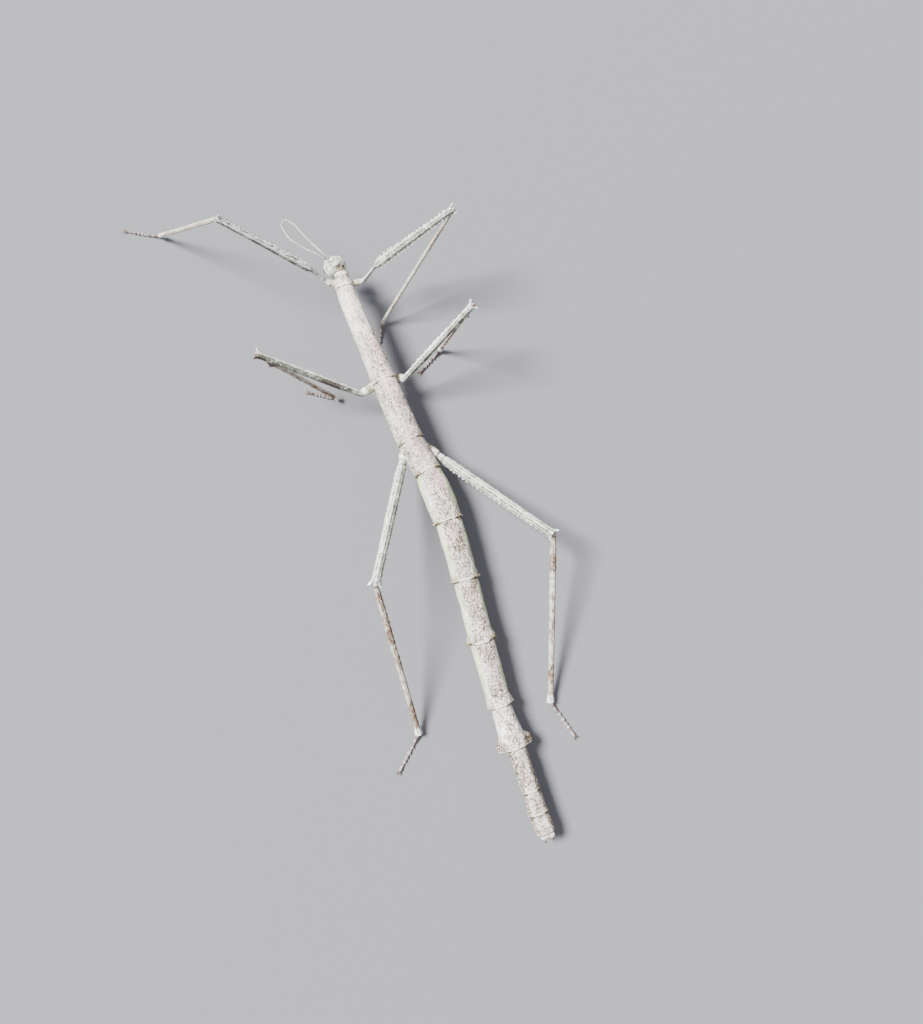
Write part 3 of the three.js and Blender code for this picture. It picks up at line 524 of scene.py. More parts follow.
# %% The head
HEAD_LENGTH = 8.4
HEAD_OUTLINE = [
    [-0.04, 2.8, 2.6], [0, 5.6, 5.2], [0.07, 8.1, 7.5], [0.25, 9.8, 9.0], [0.47, 10.1, 9.2],
    [0.68, 9.3, 8.4], [0.85, 7.6, 6.6], [0.95, 5.6, 4.8], [1, 4.4, 3.7], [1.04, 2.2, 1.9],
]
ANTENNA = {"along": 7.2, "aside": 1.9, "up": 2.4}
# along, aside, radius and width of the dark curls on the crown
CURLS = ((4.4, 1.5, 0.45, 0.22), (2.9, -0.9, 0.4, 0.2), (3.4, 3.4, 0.35, 0.2))


def head_tube(sides=112, pitch=0.11):
    share = np.linspace(-0.04, 1.04, int(HEAD_LENGTH * 1.08 / pitch))[:, None]
    _, side, over = ring_of(sides)
    along = share * HEAD_LENGTH
    aside = outline(HEAD_OUTLINE, 1, share) / 2 * side
    lift = outline(HEAD_OUTLINE, 2, share) / 2 * over

    def near(at, to, up, width):
        return np.exp(-((along - at) ** 2 + (np.abs(aside) - to) ** 2 + (lift - up) ** 2) / width**2)

    def rim_and_socket(at, to, up, radius, width):
        gap = np.sqrt((along - at) ** 2 + (np.abs(aside) - to) ** 2 + (lift - up) ** 2)
        return bump(gap - radius, width), smoothstep(-gap, -radius, -radius * 0.6)

    top = smoothstep(over, 0.1, 0.5)
    furrow = bump(aside, 0.22) * top * smoothstep(along, 0.6, 1.6) * smoothstep(-along, -7.0, -5.8)
    crown = 0.34 * near(2.1, 1.9, 3.6, 1.6)
    warts = 0.5 * near(5.7, 1.15, 3.7, 0.5) + 0.2 * near(3.9, 1.5, 4.2, 0.45) + 0.18 * near(2.6, 3.2, 2.9, 0.5)
    cheek = 0.3 * near(5.3, 3.9, -1.9, 1.5)
    brow = 0.26 * near(4.9, 3.4, 2.4, 0.8)
    rim, socket = rim_and_socket(EYE["along"], EYE["aside"] + 0.15, EYE["up"], 1.5, 0.24)
    root_rim, root = rim_and_socket(ANTENNA["along"], ANTENNA["aside"], ANTENNA["up"] + 0.3, 1.02, 0.2)
    face = -0.3 * near(7.2, 0, 2.6, 1.0) + 0.2 * bump(aside, 0.18) * smoothstep(along, 6.4, 7.6) * top
    spot = grid(along, aside, lift)
    rough = 0.12 * noise(spot, 1.0, 3) + 0.09 * noise(spot, 0.5, 4)
    grow = crown + warts + cheek + brow + 0.3 * rim - 0.5 * socket + 0.26 * root_rim - 0.45 * root
    grow = grow + face - 0.12 * furrow + rough
    slope = np.clip((share - 0.5) * 2, -1, 1) ** 3 * 0.8
    points = point_in(HEAD_START, HEAD_AXES, along + grow * slope, aside + grow * side, lift + grow * over)

    curls = sum(bump(np.hypot(along - at, aside - to) - radius, width) for at, to, radius, width in CURLS)
    # The nape's dark is partly its own colour and partly painted shade under the head's rear, and the dark spot just
    # below each front wart is partly its painted shadow.
    nape = 0.8 * smoothstep(-along, -0.3, 0.0) * smoothstep(aside, -1.2, -0.2) * (over > -0.2)
    stain_and_painted_shade = nape + 0.5 * near(5.7, 1.15, 3.3, 0.5)
    return tube(
        "head", points, (along, aside, lift), (share, side, over),
        crest=0.9 * rim + 0.7 * root_rim + 1.4 * warts + 0.25 * brow, seam=0.25 * furrow + 0.9 * socket + 0.7 * root,
        green=0.45 + 0.6 * noise(spot, 2.2, 9), stain=stain_and_painted_shade,
        rosy=0.4 * bump(along - 7.4, 1.0) + stain_and_painted_shade * smoothstep(-aside, -2.0, -1.0),
        freckle=0.55 + 0.5 * noise(spot, 2.0, 8), ink=0.85 * curls * top, bright=0.5 * noise(spot, 1.6, 7) + 0.3,
    )


head = head_tube()
print("head points:", head["points"].shape)

# %% [markdown]
# ## Mouthparts
# Under the face hang the upper lip, a pair of jaws and two pairs of jointed feelers, the palps. In
# the plan they are one block and four rods. Here each is a small tube of its own, lobed and ringed
# at its joints, and they all run into the head.

# %% Mouthparts and palps
def rod(zone, knots, radius_at, sides=16, pitch=0.16, flatten=1.0, **facts):
    """A round rod through the knots. radius_at gives its radius at each share of the way."""
    knots = np.asarray(knots, float)
    count = max(6, int(np.linalg.norm(np.diff(knots, axis=0), axis=1).sum() / pitch))
    share = np.linspace(0, 1, count)
    final = len(knots) - 1
    spot = share * final
    point = thread(knots, spot)
    ahead, behind = (thread(knots, np.clip(spot + step, 0, final)) for step in (NUDGE, -NUDGE))
    axes = axes_across(ahead - behind)
    _, side, over = ring_of(sides)
    gone = np.hstack([0, np.cumsum(np.linalg.norm(np.diff(point, axis=0), axis=1))])
    end = np.minimum(gone, gone[-1] - gone)
    radius = radius_at(share, gone)
    round_off = np.sqrt(np.clip(1 - (1 - np.clip(end / np.maximum(radius, 1e-6), 0, 1)) ** 2, 0.002, 1))
    radius = (radius * round_off)[:, None]
    aside, lift = radius * side, radius * over * flatten
    points = point_in(point[:, None], [axis[:, None] for axis in axes[1:]], aside, lift)
    facts = {key: (value(share, gone)[:, None] if callable(value) else value) for key, value in facts.items()}
    return tube(zone, points, (gone[:, None], aside, lift), (share[:, None], side, over), **facts)


def ringed(count, depth, swell):
    """A rod of joints: each swells toward its end, and a thin neck parts it from the next."""
    def radius_factor(share):
        part = (share * count) % 1.0
        return 1 + swell * part**2 - depth * (bump(part, 0.08) + bump(part - 1, 0.05))
    return radius_factor


def in_head(along, aside, up):
    return point_in(HEAD_START, HEAD_AXES, along, aside, up)


MOUTH_START = in_head(HEAD_LENGTH - 0.9, 0, -0.9)
MOUTH_AXES = axes_across(heading(-22, -62))
MOUTH_LENGTH = 2.9
MOUTH_OUTLINE = [[-0.5, 5.0, 4.0], [0, 5.2, 4.2], [0.45, 4.6, 3.8], [0.85, 3.6, 3.0], [1, 2.6, 2.0], [1.03, 1.2, 1.0]]
# how far along the head and aside, reach (out, forward, down), radius and joints of each pair of palps
PALPS = ((5.8, 2.7, (1.3, 3.4, -2.2), 0.4, 5), (4.6, 1.2, (0.6, 1.2, -2.6), 0.34, 3))


def mouth_tube(sides=72, rings=44):
    share = np.linspace(-0.5, 1.03, rings)[:, None]
    _, side, over = ring_of(sides)
    along = share * MOUTH_LENGTH
    aside = outline(MOUTH_OUTLINE, 1, share) / 2 * side
    lift = outline(MOUTH_OUTLINE, 2, share) / 2 * over
    lip_line = bump(along - 1.15, 0.16) * (over > -0.2)
    split = bump(aside, 0.16) * smoothstep(along, 1.5, 2.2)
    jaws = bump(np.abs(side) - 0.78, 0.12) * smoothstep(along, 0.2, 0.8)
    lip = smoothstep(over, 0.2, 0.8) * bump(along - 1.9, 0.8)
    grow = 0.22 * lip - 0.16 * lip_line - 0.3 * split - 0.2 * jaws
    points = point_in(MOUTH_START, MOUTH_AXES, along, aside + grow * side, lift + grow * over)
    return tube(
        "mouth", points, (along, aside, lift), (share, side, over), seam=lip_line + split + jaws, crest=0.6 * lip,
    )


def palp_tube(side, along, aside, reach, radius, joints):
    out, forward, down = reach
    base = in_head(along, side * aside, -3.2)
    elbow = base + [side * out * 0.9, forward * 0.35, down * 0.75]
    tip = base + [side * out * 0.9, forward, down * 1.5]
    shape = ringed(joints, 0.35, 0.18)
    return rod(
        "mouth", [base - [0, 0.4, -0.5], base, elbow, tip], lambda share, gone: radius * shape(share), pitch=0.08,
        seam=lambda share, gone: bump((share * joints) % 1.0, 0.12),
    )


mouthparts = [mouth_tube()] + [palp_tube(side, *palp) for side in (-1, 1) for palp in PALPS]
print("mouthparts:", len(mouthparts))

# %% [markdown]
# ## Antennae
# Each antenna is a thread of short joints on a thick first joint, the scape, and a round second
# one. Both lie forward and curl over to the left, as in life when the animal feels its way.

# %% Antennae
COURSES = {
    -1: [[-3.4, 141.4, 23.6], [-10.4, 148.4, 25.2], [-15.0, 155.0, 25.8], [-16.2, 162.0, 26.0]],
    1: [[-1.4, 141.2, 24.0], [-6.9, 151.4, 24.8], [-11.0, 160.8, 25.0], [-14.0, 163.8, 25.0], [-15.6, 162.4, 25.0]],
}
FEELER_JOINT, SCAPE_END, BEAD_AT = 1.7, 2.95, 3.5


def antenna_tube(side):
    root = in_head(ANTENNA["along"] - 0.5, side * ANTENNA["aside"], ANTENNA["up"] - 0.4)
    base = in_head(ANTENNA["along"], side * ANTENNA["aside"], ANTENNA["up"])

    def radius(share, gone):
        joint = (gone / FEELER_JOINT) % 1.0
        slender = np.interp(gone, [0, 40], [0.43, 0.25]) * (1 + 0.14 * joint**3 - 0.12 * bump(joint, 0.1))
        scape = 0.8 * bump(gone - 1.5, 1.5) ** 0.5 * (gone < SCAPE_END)
        return np.maximum(np.maximum(slender, scape), 0.62 * bump(gone - BEAD_AT, 0.75))

    def seam(share, gone):
        return bump((gone / FEELER_JOINT) % 1.0, 0.1) * (gone > BEAD_AT + 0.1) + bump(gone - SCAPE_END, 0.12)

    return rod("feeler", [root, base, *COURSES[side]], radius, sides=14, pitch=0.13, seam=seam)


antennae = [antenna_tube(side) for side in (-1, 1)]
print("antenna points:", antennae[0]["points"].shape)

# %% [markdown]
# ## Tail
# The last shell ends in three rounded lobes, two beside each other and a higher one between them.
# A boat-shaped plate, the operculum, lies under the last three shells and guides the eggs. Two
# short cerci stand out between the lobes.

# %% Operculum, lobes and cerci
OPERCULUM = {"length": 17.5, "width": 6.6, "depth": 1.9, "below": 3.75}
OPERCULUM_OUTLINE = [[0, 0.8, 0.7], [0.2, 1, 1], [0.6, 0.9, 1], [0.9, 0.5, 0.7], [0.98, 0.26, 0.45], [1, 0.1, 0.2]]
# side, how far aside and up, radius, and reach beyond the shell's end
LOBES = ((-1, 1.75, 0.5, 1.65, 0.3), (1, 1.85, 0.6, 1.55, 0.55), (1, 0.1, 1.05, 1.25, -0.35))


def operculum_tube(sides=40, rings=80):
    point, axes = spine_at(np.array(len(TRUNK) - 3.0))
    origin = point_in(point, axes, 0, 0, -OPERCULUM["below"])
    share = np.linspace(0, 1, rings)[:, None]
    _, side, over = ring_of(sides)
    along = share * OPERCULUM["length"]
    aside = OPERCULUM["width"] / 2 * outline(OPERCULUM_OUTLINE, 1, share) * side
    lift = OPERCULUM["depth"] / 2 * outline(OPERCULUM_OUTLINE, 2, share) * over
    keel = 0.3 * bump(aside, 0.3) * (over < 0)
    points = point_in(origin, (-axes[0], axes[1], axes[2]), along, aside, lift - keel)
    return tube(
        "tail", points, (along, aside, lift), (share, side, over), crest=keel * 2 + bump(np.abs(side) - 1, 0.05),
    )


def lobe_tube(side, aside, up, radius, reach):
    """A rounded lobe of the last shell, from inside it to a little beyond its end."""
    point, axes = spine_at(np.array(len(TRUNK)))
    start = point_in(point, axes, 4.2, side * aside * 0.85, up - 0.2)
    end = point_in(point, axes, -reach, side * aside, up)
    return rod(
        "trunk", [start, (start + end) / 2, end],
        lambda share, gone: radius * (1.06 - 0.3 * share**2 + 0.05 * np.sin(gone * 2.3)), sides=28, flatten=0.8,
        rosy=lambda share, gone: 0.9 * smoothstep(share, 0.6, 1), freckle=0.35, green=0.25,
        stain=lambda share, gone: 0.3 * smoothstep(share, 0.8, 1),
        bright=lambda share, gone: 0.4 * bump(share - 0.6, 0.25),
    )


def cercus_tube(side):
    point, axes = spine_at(np.array(len(TRUNK) - 0.5))
    start = point_in(point, axes, 0.6, side * 1.5, -0.9)
    end = point_in(start, axes, -5.2, side * 0.3, -0.5)
    return rod(
        "mouth", [start, (start + end) / 2, end], lambda share, gone: 0.62 * (1 - 0.5 * share**2),
        rosy=1.0, ink=lambda share, gone: 0.45 * share,
    )


tail = [operculum_tube(), cercus_tube(-1), cercus_tube(1)]
lobes = [lobe_tube(*lobe) for lobe in LOBES]
print("tail pieces:", len(tail), "and lobes:", len(lobes))

# %% [markdown]
# ## Legs
# A leg is a chain: hip, thigh (femur), shin (tibia) and a foot of five short joints. Its section
# isn't round. Fine ridges run along it, and the two on its edges carry saw teeth that lean toward
# the foot. So a femur is a loft with a ridged section, a row of unlike teeth on each edge, a thin
# root, and a knee that flares into two pointed lobes round the shin.

# %% How the legs stand
# lengths of femur, tibia and foot
LEG = {"front": (57, 70.5, 17), "middle": (51, 50.5, 14), "hind": (64.2, 79, 19)}
# pair, side, shell and share of the socket, hip, femur's bearing and rise, its roll, bearings of shin and foot
STANCE = [
    ("front", "left", "pronotum", 0.75, [-5.9, 131.3, 21], (-52.2, 40.5), 62, -47.5, -60),
    ("front", "right", "pronotum", 0.75, [10.0, 125.7, 21], (86, 38), 0, -114.1, -150),
    ("middle", "left", "mesothorax", 0.97, [-8.9, 77.2, 16.4], (-54.9, 28.9), 0, 128.7, -56),
    ("middle", "right", "mesothorax", 0.97, [12.8, 77.2, 16.4], (73, 42.7), 0, -90, -118),
    ("hind", "left", "metathorax", 0.9, [-1.7, 41.6, 14], (-148.9, 24.7), 0, -174.5, -132),
    ("hind", "right", "metathorax", 0.9, [14.6, 38.0, 14], (147.1, 11.5), 0, -160, 165),
]
ANKLE = 2.6


def leg_points(pair, hip, femur, shin):
    femur_length, tibia_length, _ = LEG[pair]
    hip = np.array(hip)
    knee = hip + femur_length * heading(*femur)
    fall = -np.degrees(np.arcsin((knee[2] - ANKLE) / tibia_length))
    return hip, knee, knee + tibia_length * heading(shin, fall)


def limb_axes(start, end, roll):
    """A limb's axes, with aside toward the head, turned up by the roll."""
    along, aside, over = axes_across(end - start)
    aside = aside if aside[1] >= 0 else -aside
    turn = np.radians(roll)
    return along, aside * np.cos(turn) + over * np.sin(turn), over * np.cos(turn) - aside * np.sin(turn)


for pair, side, _, _, hip, femur, _, shin, _ in STANCE:
    print(pair, side, "knee at", leg_points(pair, hip, femur, shin)[1].round(1))

# %% A ridged, toothed limb
def saw(share, count, start, stop, seed, slim=1.0):
    """Teeth from 0 to 1 along a limb, each with its own height, place and width, leaning to the foot."""
    dice = np.random.default_rng(seed)
    teeth = np.zeros_like(share)
    pitch = (stop - start) / count
    for i in range(count):
        peak = start + (i + 0.7 + dice.uniform(-0.2, 0.2)) * pitch
        height, broad = dice.uniform(0.42, 1.0), slim * dice.uniform(0.75, 1.2)
        rise = np.clip(1 - (peak - share) / (pitch * 0.5 * broad), 0, 1) * (share <= peak)
        fall = np.clip(1 - (share - peak) / (pitch * 0.2 * broad), 0, 1) * (share > peak)
        teeth = np.maximum(teeth, height * (rise + fall) ** 1.15)
    return teeth


def limb_marks(length, start, pitch):
    """Distances along a limb, and a few beyond its end, where its cup turns in."""
    return np.hstack([np.arange(start, length, pitch), length + np.array([0.0, 0.1, 0.2, 0.35, 0.5, 0.6])])


def limb_tube(zone, ends, roll, profile, marks, ridges, teeth, facts_at, bow=0.0, lobes=0.0, cup=0.0, sides=44):
    """A limb between two ends. marks are distances along it, and teeth are heights ahead and behind.

    facts_at gives the facts at a share of the length, a flank (1 ahead, -1 behind) and a rise.
    """
    start, end = ends
    length = np.linalg.norm(end - start)
    along = marks[:, None]
    share = along / length
    theta, side, over = ring_of(sides, keels=0.55)
    crest, valley = np.abs(np.cos(ridges / 2 * theta)) ** 14, np.abs(np.sin(ridges / 2 * theta)) ** 4
    half = outline(profile, 1, share) / 2
    tall = outline(profile, 2, share) / 2 * 1.08
    body = 1 + 0.075 * crest - 0.05 * valley
    ahead, behind = bump(theta, 0.14) + bump(theta - 2 * np.pi, 0.14), bump(theta - np.pi, 0.14)
    tooth = teeth[0][:, None] * ahead - teeth[1][:, None] * behind
    aside, lift = half * side * body + tooth, tall * over * body

    # The root may bow ahead. At the far end two lobes reach on, and the middle is cupped and closed.
    bend = bow * smoothstep(share, 0, 0.2) * np.cos(np.pi / 2 * np.clip(share, 0, 1))
    slant = lobes * smoothstep(share, 0.955, 1.0) * np.abs(side) ** 6
    gone_in = np.clip(share - 1, 0, None) * length
    place = np.minimum(along, length) - cup * smoothstep(gone_in, 0.05, 0.6) + slant
    shrink = np.where(gone_in > 0, np.clip(1 - gone_in / 0.62, 0.06, 1), 1)
    early = np.where(share < 0, np.clip(1 + along / 1.2, 0.1, 1), 1)
    aside, lift = aside * shrink * early, lift * shrink * early
    points = point_in(start, limb_axes(start, end, roll), place, aside + bend, lift)
    edge = np.clip(teeth[0][:, None] * ahead + teeth[1][:, None] * behind, 0, 0.4) * 2.2
    return tube(
        zone, points, (along, aside, lift), (share, side, over), crest=0.75 * crest + edge,
        **facts_at(share, side, over),
    )


# %% [markdown]
# The hips come first, as short folded cones from their sockets in the thorax. The thighs' own
# numbers follow. Front thighs have a thin curved root, to close round the head when both are laid
# ahead, and the longest teeth. A ring at the root marks off the trochanter.

# %% Hips
COXA = {"front": 2.9, "middle": 4.0, "hind": 5.0}
COXA_OUTLINE = [[-0.3, 1.0, 1], [0, 1.1, 1], [0.6, 1.02, 1], [0.85, 0.9, 0.93], [0.96, 0.72, 0.78], [1, 0.5, 0.55]]


def coxa_tube(pair, root, place, hip, sides=36, pitch=0.22):
    socket = spine_at(np.array(SHELLS.index(root) + place))[0].copy()
    socket[2] = hip[2] - 0.6
    axes = axes_across(hip - socket)
    socket = socket + 2.2 * axes[0]
    length = np.linalg.norm(hip - socket) + 0.5
    share = np.linspace(-0.3, 1, int(length * 1.3 / pitch))[:, None]
    _, side, over = ring_of(sides)
    fold = 0.1 * np.sin(share * length * 3.1) * smoothstep(share, 0.2, 0.5)
    wide, tall = (COXA[pair] / 2 * outline(COXA_OUTLINE, column, share) + fold * 0.5 for column in (1, 2))
    lay = (share * length, wide * side, tall * over)
    return tube(
        "hip", point_in(socket, axes, *lay), lay, (share, side, over),
        seam=0.75 * bump(share - 0.93, 0.035) + 0.35 * bump(share - 0.62, 0.03), green=0.35,
        stain=0.35 * smoothstep(-over, 0.2, 0.9) + 0.7 * bump(share - 0.55, 0.07),
        freckle=0.35, bright=0.6 * bump(share - 0.78, 0.1),
    )


# %% Thighs
FEMUR_OUTLINE = {
    "front": [[-0.03, 1.9, 2.2], [0, 2.1, 2.5], [0.03, 2.2, 2.4], [0.06, 1.5, 1.9], [0.15, 1.5, 2.0], [0.18, 1.9, 2.4],
              [0.2, 3.9, 3.0], [0.3, 4.1, 3.3], [0.9, 2.9, 3.0], [0.96, 3.0, 3.0], [1, 3.7, 2.9]],
    "middle": [[-0.03, 2.3, 2.6], [0, 2.6, 3.0], [0.05, 2.9, 3.2], [0.08, 2.7, 3.0], [0.3, 3.2, 3.3], [0.9, 2.8, 3.0],
               [0.96, 3.1, 3.0], [1, 4.0, 2.9]],
    "hind": [[-0.03, 2.8, 3.2], [0, 3.2, 3.6], [0.035, 3.4, 3.6], [0.045, 2.9, 3.4], [0.06, 4.1, 4.0], [0.3, 4.2, 4.1],
             [0.9, 3.7, 3.7], [0.96, 4.1, 3.8], [1, 5.0, 3.6]],
}
# count, first share, last share, height ahead, height behind
FEMUR_TEETH = {
    "front": (19, 0.19, 0.93, 1.0, 0.75), "middle": (13, 0.12, 0.92, 0.6, 0.3), "hind": (20, 0.09, 0.93, 0.24, 0.85),
}
FEMUR_RIDGES = {"front": 6, "middle": 6, "hind": 8}
TROCHANTER = {"front": 0.035, "middle": 0.05, "hind": 0.045}
# how light a thigh is ahead and how dark behind, partly its own colour and partly painted light ahead and painted shade
# behind
THIGH_SHADES = {
    ("front", "left"): (0.8, 0.8), ("front", "right"): (0.3, 0.48), ("middle", "left"): (0.9, 1.5),
    ("middle", "right"): (0.9, 0.375), ("hind", "left"): (0.35, 0.2), ("hind", "right"): (0.35, 0.05),
}


def thigh_teeth(pair, side, share, roll, seed):
    """Heights of the teeth ahead and behind. A rolled thigh shows its teeth from above, and shorter."""
    count, first, last, ahead, behind = FEMUR_TEETH[pair]
    slim, slim_behind, long_near_root = 0.62, 0.62, 1
    if pair == "front":
        slim, slim_behind, long_near_root = 0.75, 1.0, 1 + 0.5 * smoothstep(-share, -0.5, -0.2)
    if roll:
        ahead, behind = 0.4 * ahead, 0.6 * behind
    elif (pair, side) == ("middle", "left"):
        ahead = 0.5 * ahead
    knee_points = (0.35 if roll else 0.62) * bump(share - 0.994, 0.011)
    return (
        ahead * saw(share, count, first, last, seed, slim) * long_near_root + knee_points,
        behind * saw(share, count + 1, first + 0.01, last, seed + 1, slim_behind) + 0.8 * knee_points,
    )


def femur_tube(pair, side, hip, knee, roll, seed):
    length, ring = LEG[pair][0], TROCHANTER[pair]
    marks = limb_marks(length, -1.6, 0.24)
    front, middle_left = pair == "front", (pair, side) == ("middle", "left")
    light, dark = THIGH_SHADES[pair, side]

    def facts_at(share, flank, rise):
        cloud = noise(grid(share * length, 1.5 * flank, 1.5 * rise), 3.2, seed)
        above = rise > 0
        knee_end = smoothstep(share, 0.935, 0.95) * smoothstep(-share, -0.995, -0.985)
        fork = bump(np.abs(flank) - (share - 0.94) * 14, 0.16) * knee_end
        line = front * bump(flank + 0.08, 0.09) * above * np.clip(0.4 + cloud, 0, 1) * (share > 0.2)
        # The darker rear of a front thigh, its own colour and painted shade, ends before its edge.
        dusk = smoothstep(-flank, -0.4 if middle_left else -0.2, 0.2)
        dusk = dusk * (1 - 0.8 * front * smoothstep(-flank, 0.45, 0.8))
        blots = smoothstep(-flank, -0.35 if middle_left else -0.1, 0.25) * smoothstep(cloud, 0.05, 0.45)
        blots = blots * (1 - front * smoothstep(-flank, 0.4, 0.7)) * (share > 0.1)
        # Painted shade with the rear's own darker colour: the rear darkens, and the underside darkens as painted shade.
        shaded = dark * dusk * (0.8 + 0.8 * cloud) + 0.6 * smoothstep(-rise, 0.2, 0.7)
        return {
            "seam": 0.8 * bump(share - ring, 0.006) + smoothstep(share, 1.002, 1.008),
            "green": (0.7 + 0.6 * cloud) * smoothstep(share, ring, ring + 0.05),
            "rosy": (0.8 * front + 0.25) * smoothstep(-flank, -0.2, 0.6) + 0.5 * bump(share - 0.975, 0.02),
            "stain": np.clip(shaded, 0, 1) * smoothstep(share, 0.06, 0.14),
            "freckle": (0.65 if front else 0.45) + 0.4 * cloud + 0.3 * smoothstep(-flank, -0.2, 0.5),
            "ink": 0.8 * fork * above + 0.5 * line + dark * blots,
            # The pale front edge is partly painted light.
            "bright": light * smoothstep(flank, 0.4 if middle_left else 0.1, 0.8)
            + 0.9 * smoothstep(share, 0.955, 0.985) + 0.6 * smoothstep(-share, -0.2, -0.14) * front,
        }

    return limb_tube(
        "femur", (hip, knee), roll, FEMUR_OUTLINE[pair], marks, FEMUR_RIDGES[pair],
        thigh_teeth(pair, side, marks / length, roll, seed), facts_at, bow=1.9 if front else 0.0, lobes=0.9, cup=0.9,
    )


hips, femora = [], []
for number, (pair, side, root, place, hip, femur, roll, shin, _) in enumerate(STANCE):
    hip, knee, ankle = leg_points(pair, hip, femur, shin)
    hips.append(coxa_tube(pair, root, place, hip))
    femora.append(femur_tube(pair, side, hip, knee, roll, 10 * number))
print("femur points:", [part["points"].shape for part in femora])

# %% [markdown]
# ## Shins and feet
# Shins are slimmer, with finer teeth and a flared end. A middle shin has a leaf-like lobe near its
# knee. The foot's first joint is as long as the next three, each joint ends in a pale swelling, and
# its sole lies flat on the floor.

# %% Shins
TIBIA_OUTLINE = {
    "front": [[-0.02, 1.3, 1.4], [0, 1.5, 1.6], [0.05, 1.7, 1.9], [0.6, 1.6, 1.8], [0.94, 1.6, 1.8], [1, 2.2, 2.0],
              [1.02, 1.9, 1.8]],
    "middle": [[-0.03, 1.4, 1.5], [0, 1.7, 1.8], [0.1, 2.1, 2.2], [0.6, 1.8, 2.0], [0.92, 1.9, 2.0], [1, 2.6, 2.2],
               [1.02, 2.1, 1.9]],
    "hind": [[-0.02, 1.7, 1.9], [0, 1.9, 2.1], [0.08, 2.5, 2.6], [0.6, 2.4, 2.5], [0.92, 2.3, 2.4], [1, 3.3, 2.8],
             [1.02, 2.8, 2.4]],
}
TIBIA_TEETH = {
    "front": (16, 0.06, 0.94, 0.12, 0.2), "middle": (11, 0.12, 0.9, 0.2, 0.45), "hind": (19, 0.07, 0.94, 0.2, 0.42),
}
# how brown, green and rosy each shin is
SHIN_TINTS = {"front": (0.25, 0.5, 0.12), "middle": (0.8, 0.0, 0.55), "hind": (0.66, 0.25, 0.12)}
LOBE_AT, LOBE_REACH = 0.17, 0.05


def tibia_tube(pair, knee, ankle, seed):
    length = LEG[pair][1]
    middle, front = pair == "middle", pair == "front"
    brown, green, rosy = SHIN_TINTS[pair]
    count, first, last, ahead, behind = TIBIA_TEETH[pair]
    marks = limb_marks(length, -1.2, 0.26)
    share = marks / length
    from_lobe = lambda share: np.abs(share - LOBE_AT) / LOBE_REACH
    rows = [saw(share, count, first, last, seed + i, 0.8) for i in range(2)]
    teeth = (ahead * rows[0], behind * rows[1] + 1.1 * middle * np.clip(1 - from_lobe(share), 0, 1))

    def facts_at(share, flank, rise):
        band = noise(grid(share * length, 0.6 * flank, 0), 6.5, seed + 3)
        small = noise(grid(share * length, 2 * flank, 0), 1.6, seed + 4)
        tip = smoothstep(share, 0.93, 0.965)
        rearward = 1 - (0.85 if middle else 0.4) * smoothstep(flank, -0.3, 0.3)
        # A middle shin's pale side is partly its own colour and partly painted light, raised where its thigh's shadow
        # falls.
        pale = 0.95 * smoothstep(flank, -0.2, 0.4) if middle else 0.5 * smoothstep(flank, 0.4, 0.9) + 0.25 * front
        return {
            "seam": bump(share - 0.012, 0.01), "green": green,
            "rosy": rosy * (1 - tip) * (0.15 + 0.85 * smoothstep(-flank, -0.15, 0.45)),
            "stain": brown * (0.75 + 1.6 * band + 0.7 * small) * rearward * (1 - 0.9 * tip),
            "freckle": np.clip(0.5 + 0.5 * small, 0, 1) * (1 - 0.5 * tip) * (0.6 if front else 1.0),
            "ink": 0.9 * middle * np.clip(1.3 - from_lobe(share), 0, 1) * smoothstep(-flank, 0.1, 0.6),
            "bright": 0.8 * tip + pale * (0.7 + small),
        }

    return limb_tube(
        "tibia", (knee, ankle), 0, TIBIA_OUTLINE[pair], marks, 6, teeth, facts_at, lobes=0.3, cup=0.4, sides=36,
    )


# %% Feet
TARSUS_JOINTS = [0.4, 0.16, 0.12, 0.1, 0.22]
TARSUS_WIDTH = {"front": 1.5, "middle": 1.7, "hind": 1.8}


def tarsus_rows(length, width):
    """The foot's outline: rows of distance, width, lowest and highest point."""
    rows, gone = [[-0.7, width * 0.5, 1.6, 2.8], [0.2, width * 0.8, 1.3, 3.0]], 0.0
    for joint, part in enumerate(TARSUS_JOINTS):
        end = gone + part * length
        first, last = joint == 0, joint == len(TARSUS_JOINTS) - 1
        top = 1.9 if first else 1.7
        if first:
            rows.append([end * 0.45, width * 0.72, 0.35, 2.1])
        rows.append([gone + (0.8 if first else 0.4) * part * length, width * 0.72, 0, top - 0.4])
        rows.append([end - 0.35, width * (0.72 if last else 1.05), 0, top])
        if not last:
            rows.append([end - 0.02, width * 0.62, 0.1, top - 0.55])
        gone = end
    return rows + [[length, width * 0.4, 0.3, 1.3]]


def tarsus_tube(pair, ankle, bearing, sides=28):
    length = LEG[pair][2]
    rows = tarsus_rows(length, TARSUS_WIDTH[pair])
    along = steps(length + 0.7, 0.2)[:, None] - 0.7
    _, side, over = ring_of(sides)
    wide, low, high = (outline(rows, column, along) for column in (1, 2, 3))
    middle = low + 0.45 * (high - low)
    lift = middle + np.where(over > 0, (high - middle) * over, (middle - low) * np.clip(over * 1.35, -1, 0))
    aside = wide / 2 * side * (1 - 0.12 * (over < -0.5))
    joints = np.cumsum(TARSUS_JOINTS)[:-1] * length
    seam = sum(bump(along - at, 0.2) for at in joints)
    crest = sum(bump(along - at + 0.5, 0.4) for at in joints)
    dark_stain, dark_ink = (0.6, 0.75) if pair == "middle" else (0.25, 0.2)
    points = point_in(np.array([ankle[0], ankle[1], 0.0]), axes_across(heading(bearing)), along, aside, lift)
    return tube(
        "tarsus", points, (along, aside, lift), (along / length, side, over), seam=0.7 * seam,
        crest=np.clip(crest, 0, 1) * 0.45, stain=dark_stain * (1.3 - crest) + 0.3 * (over < 0),
        freckle=0.6, ink=dark_ink * np.clip(seam * 1.3, 0, 1), bright=0.35 * np.clip(crest, 0, 1),
    )


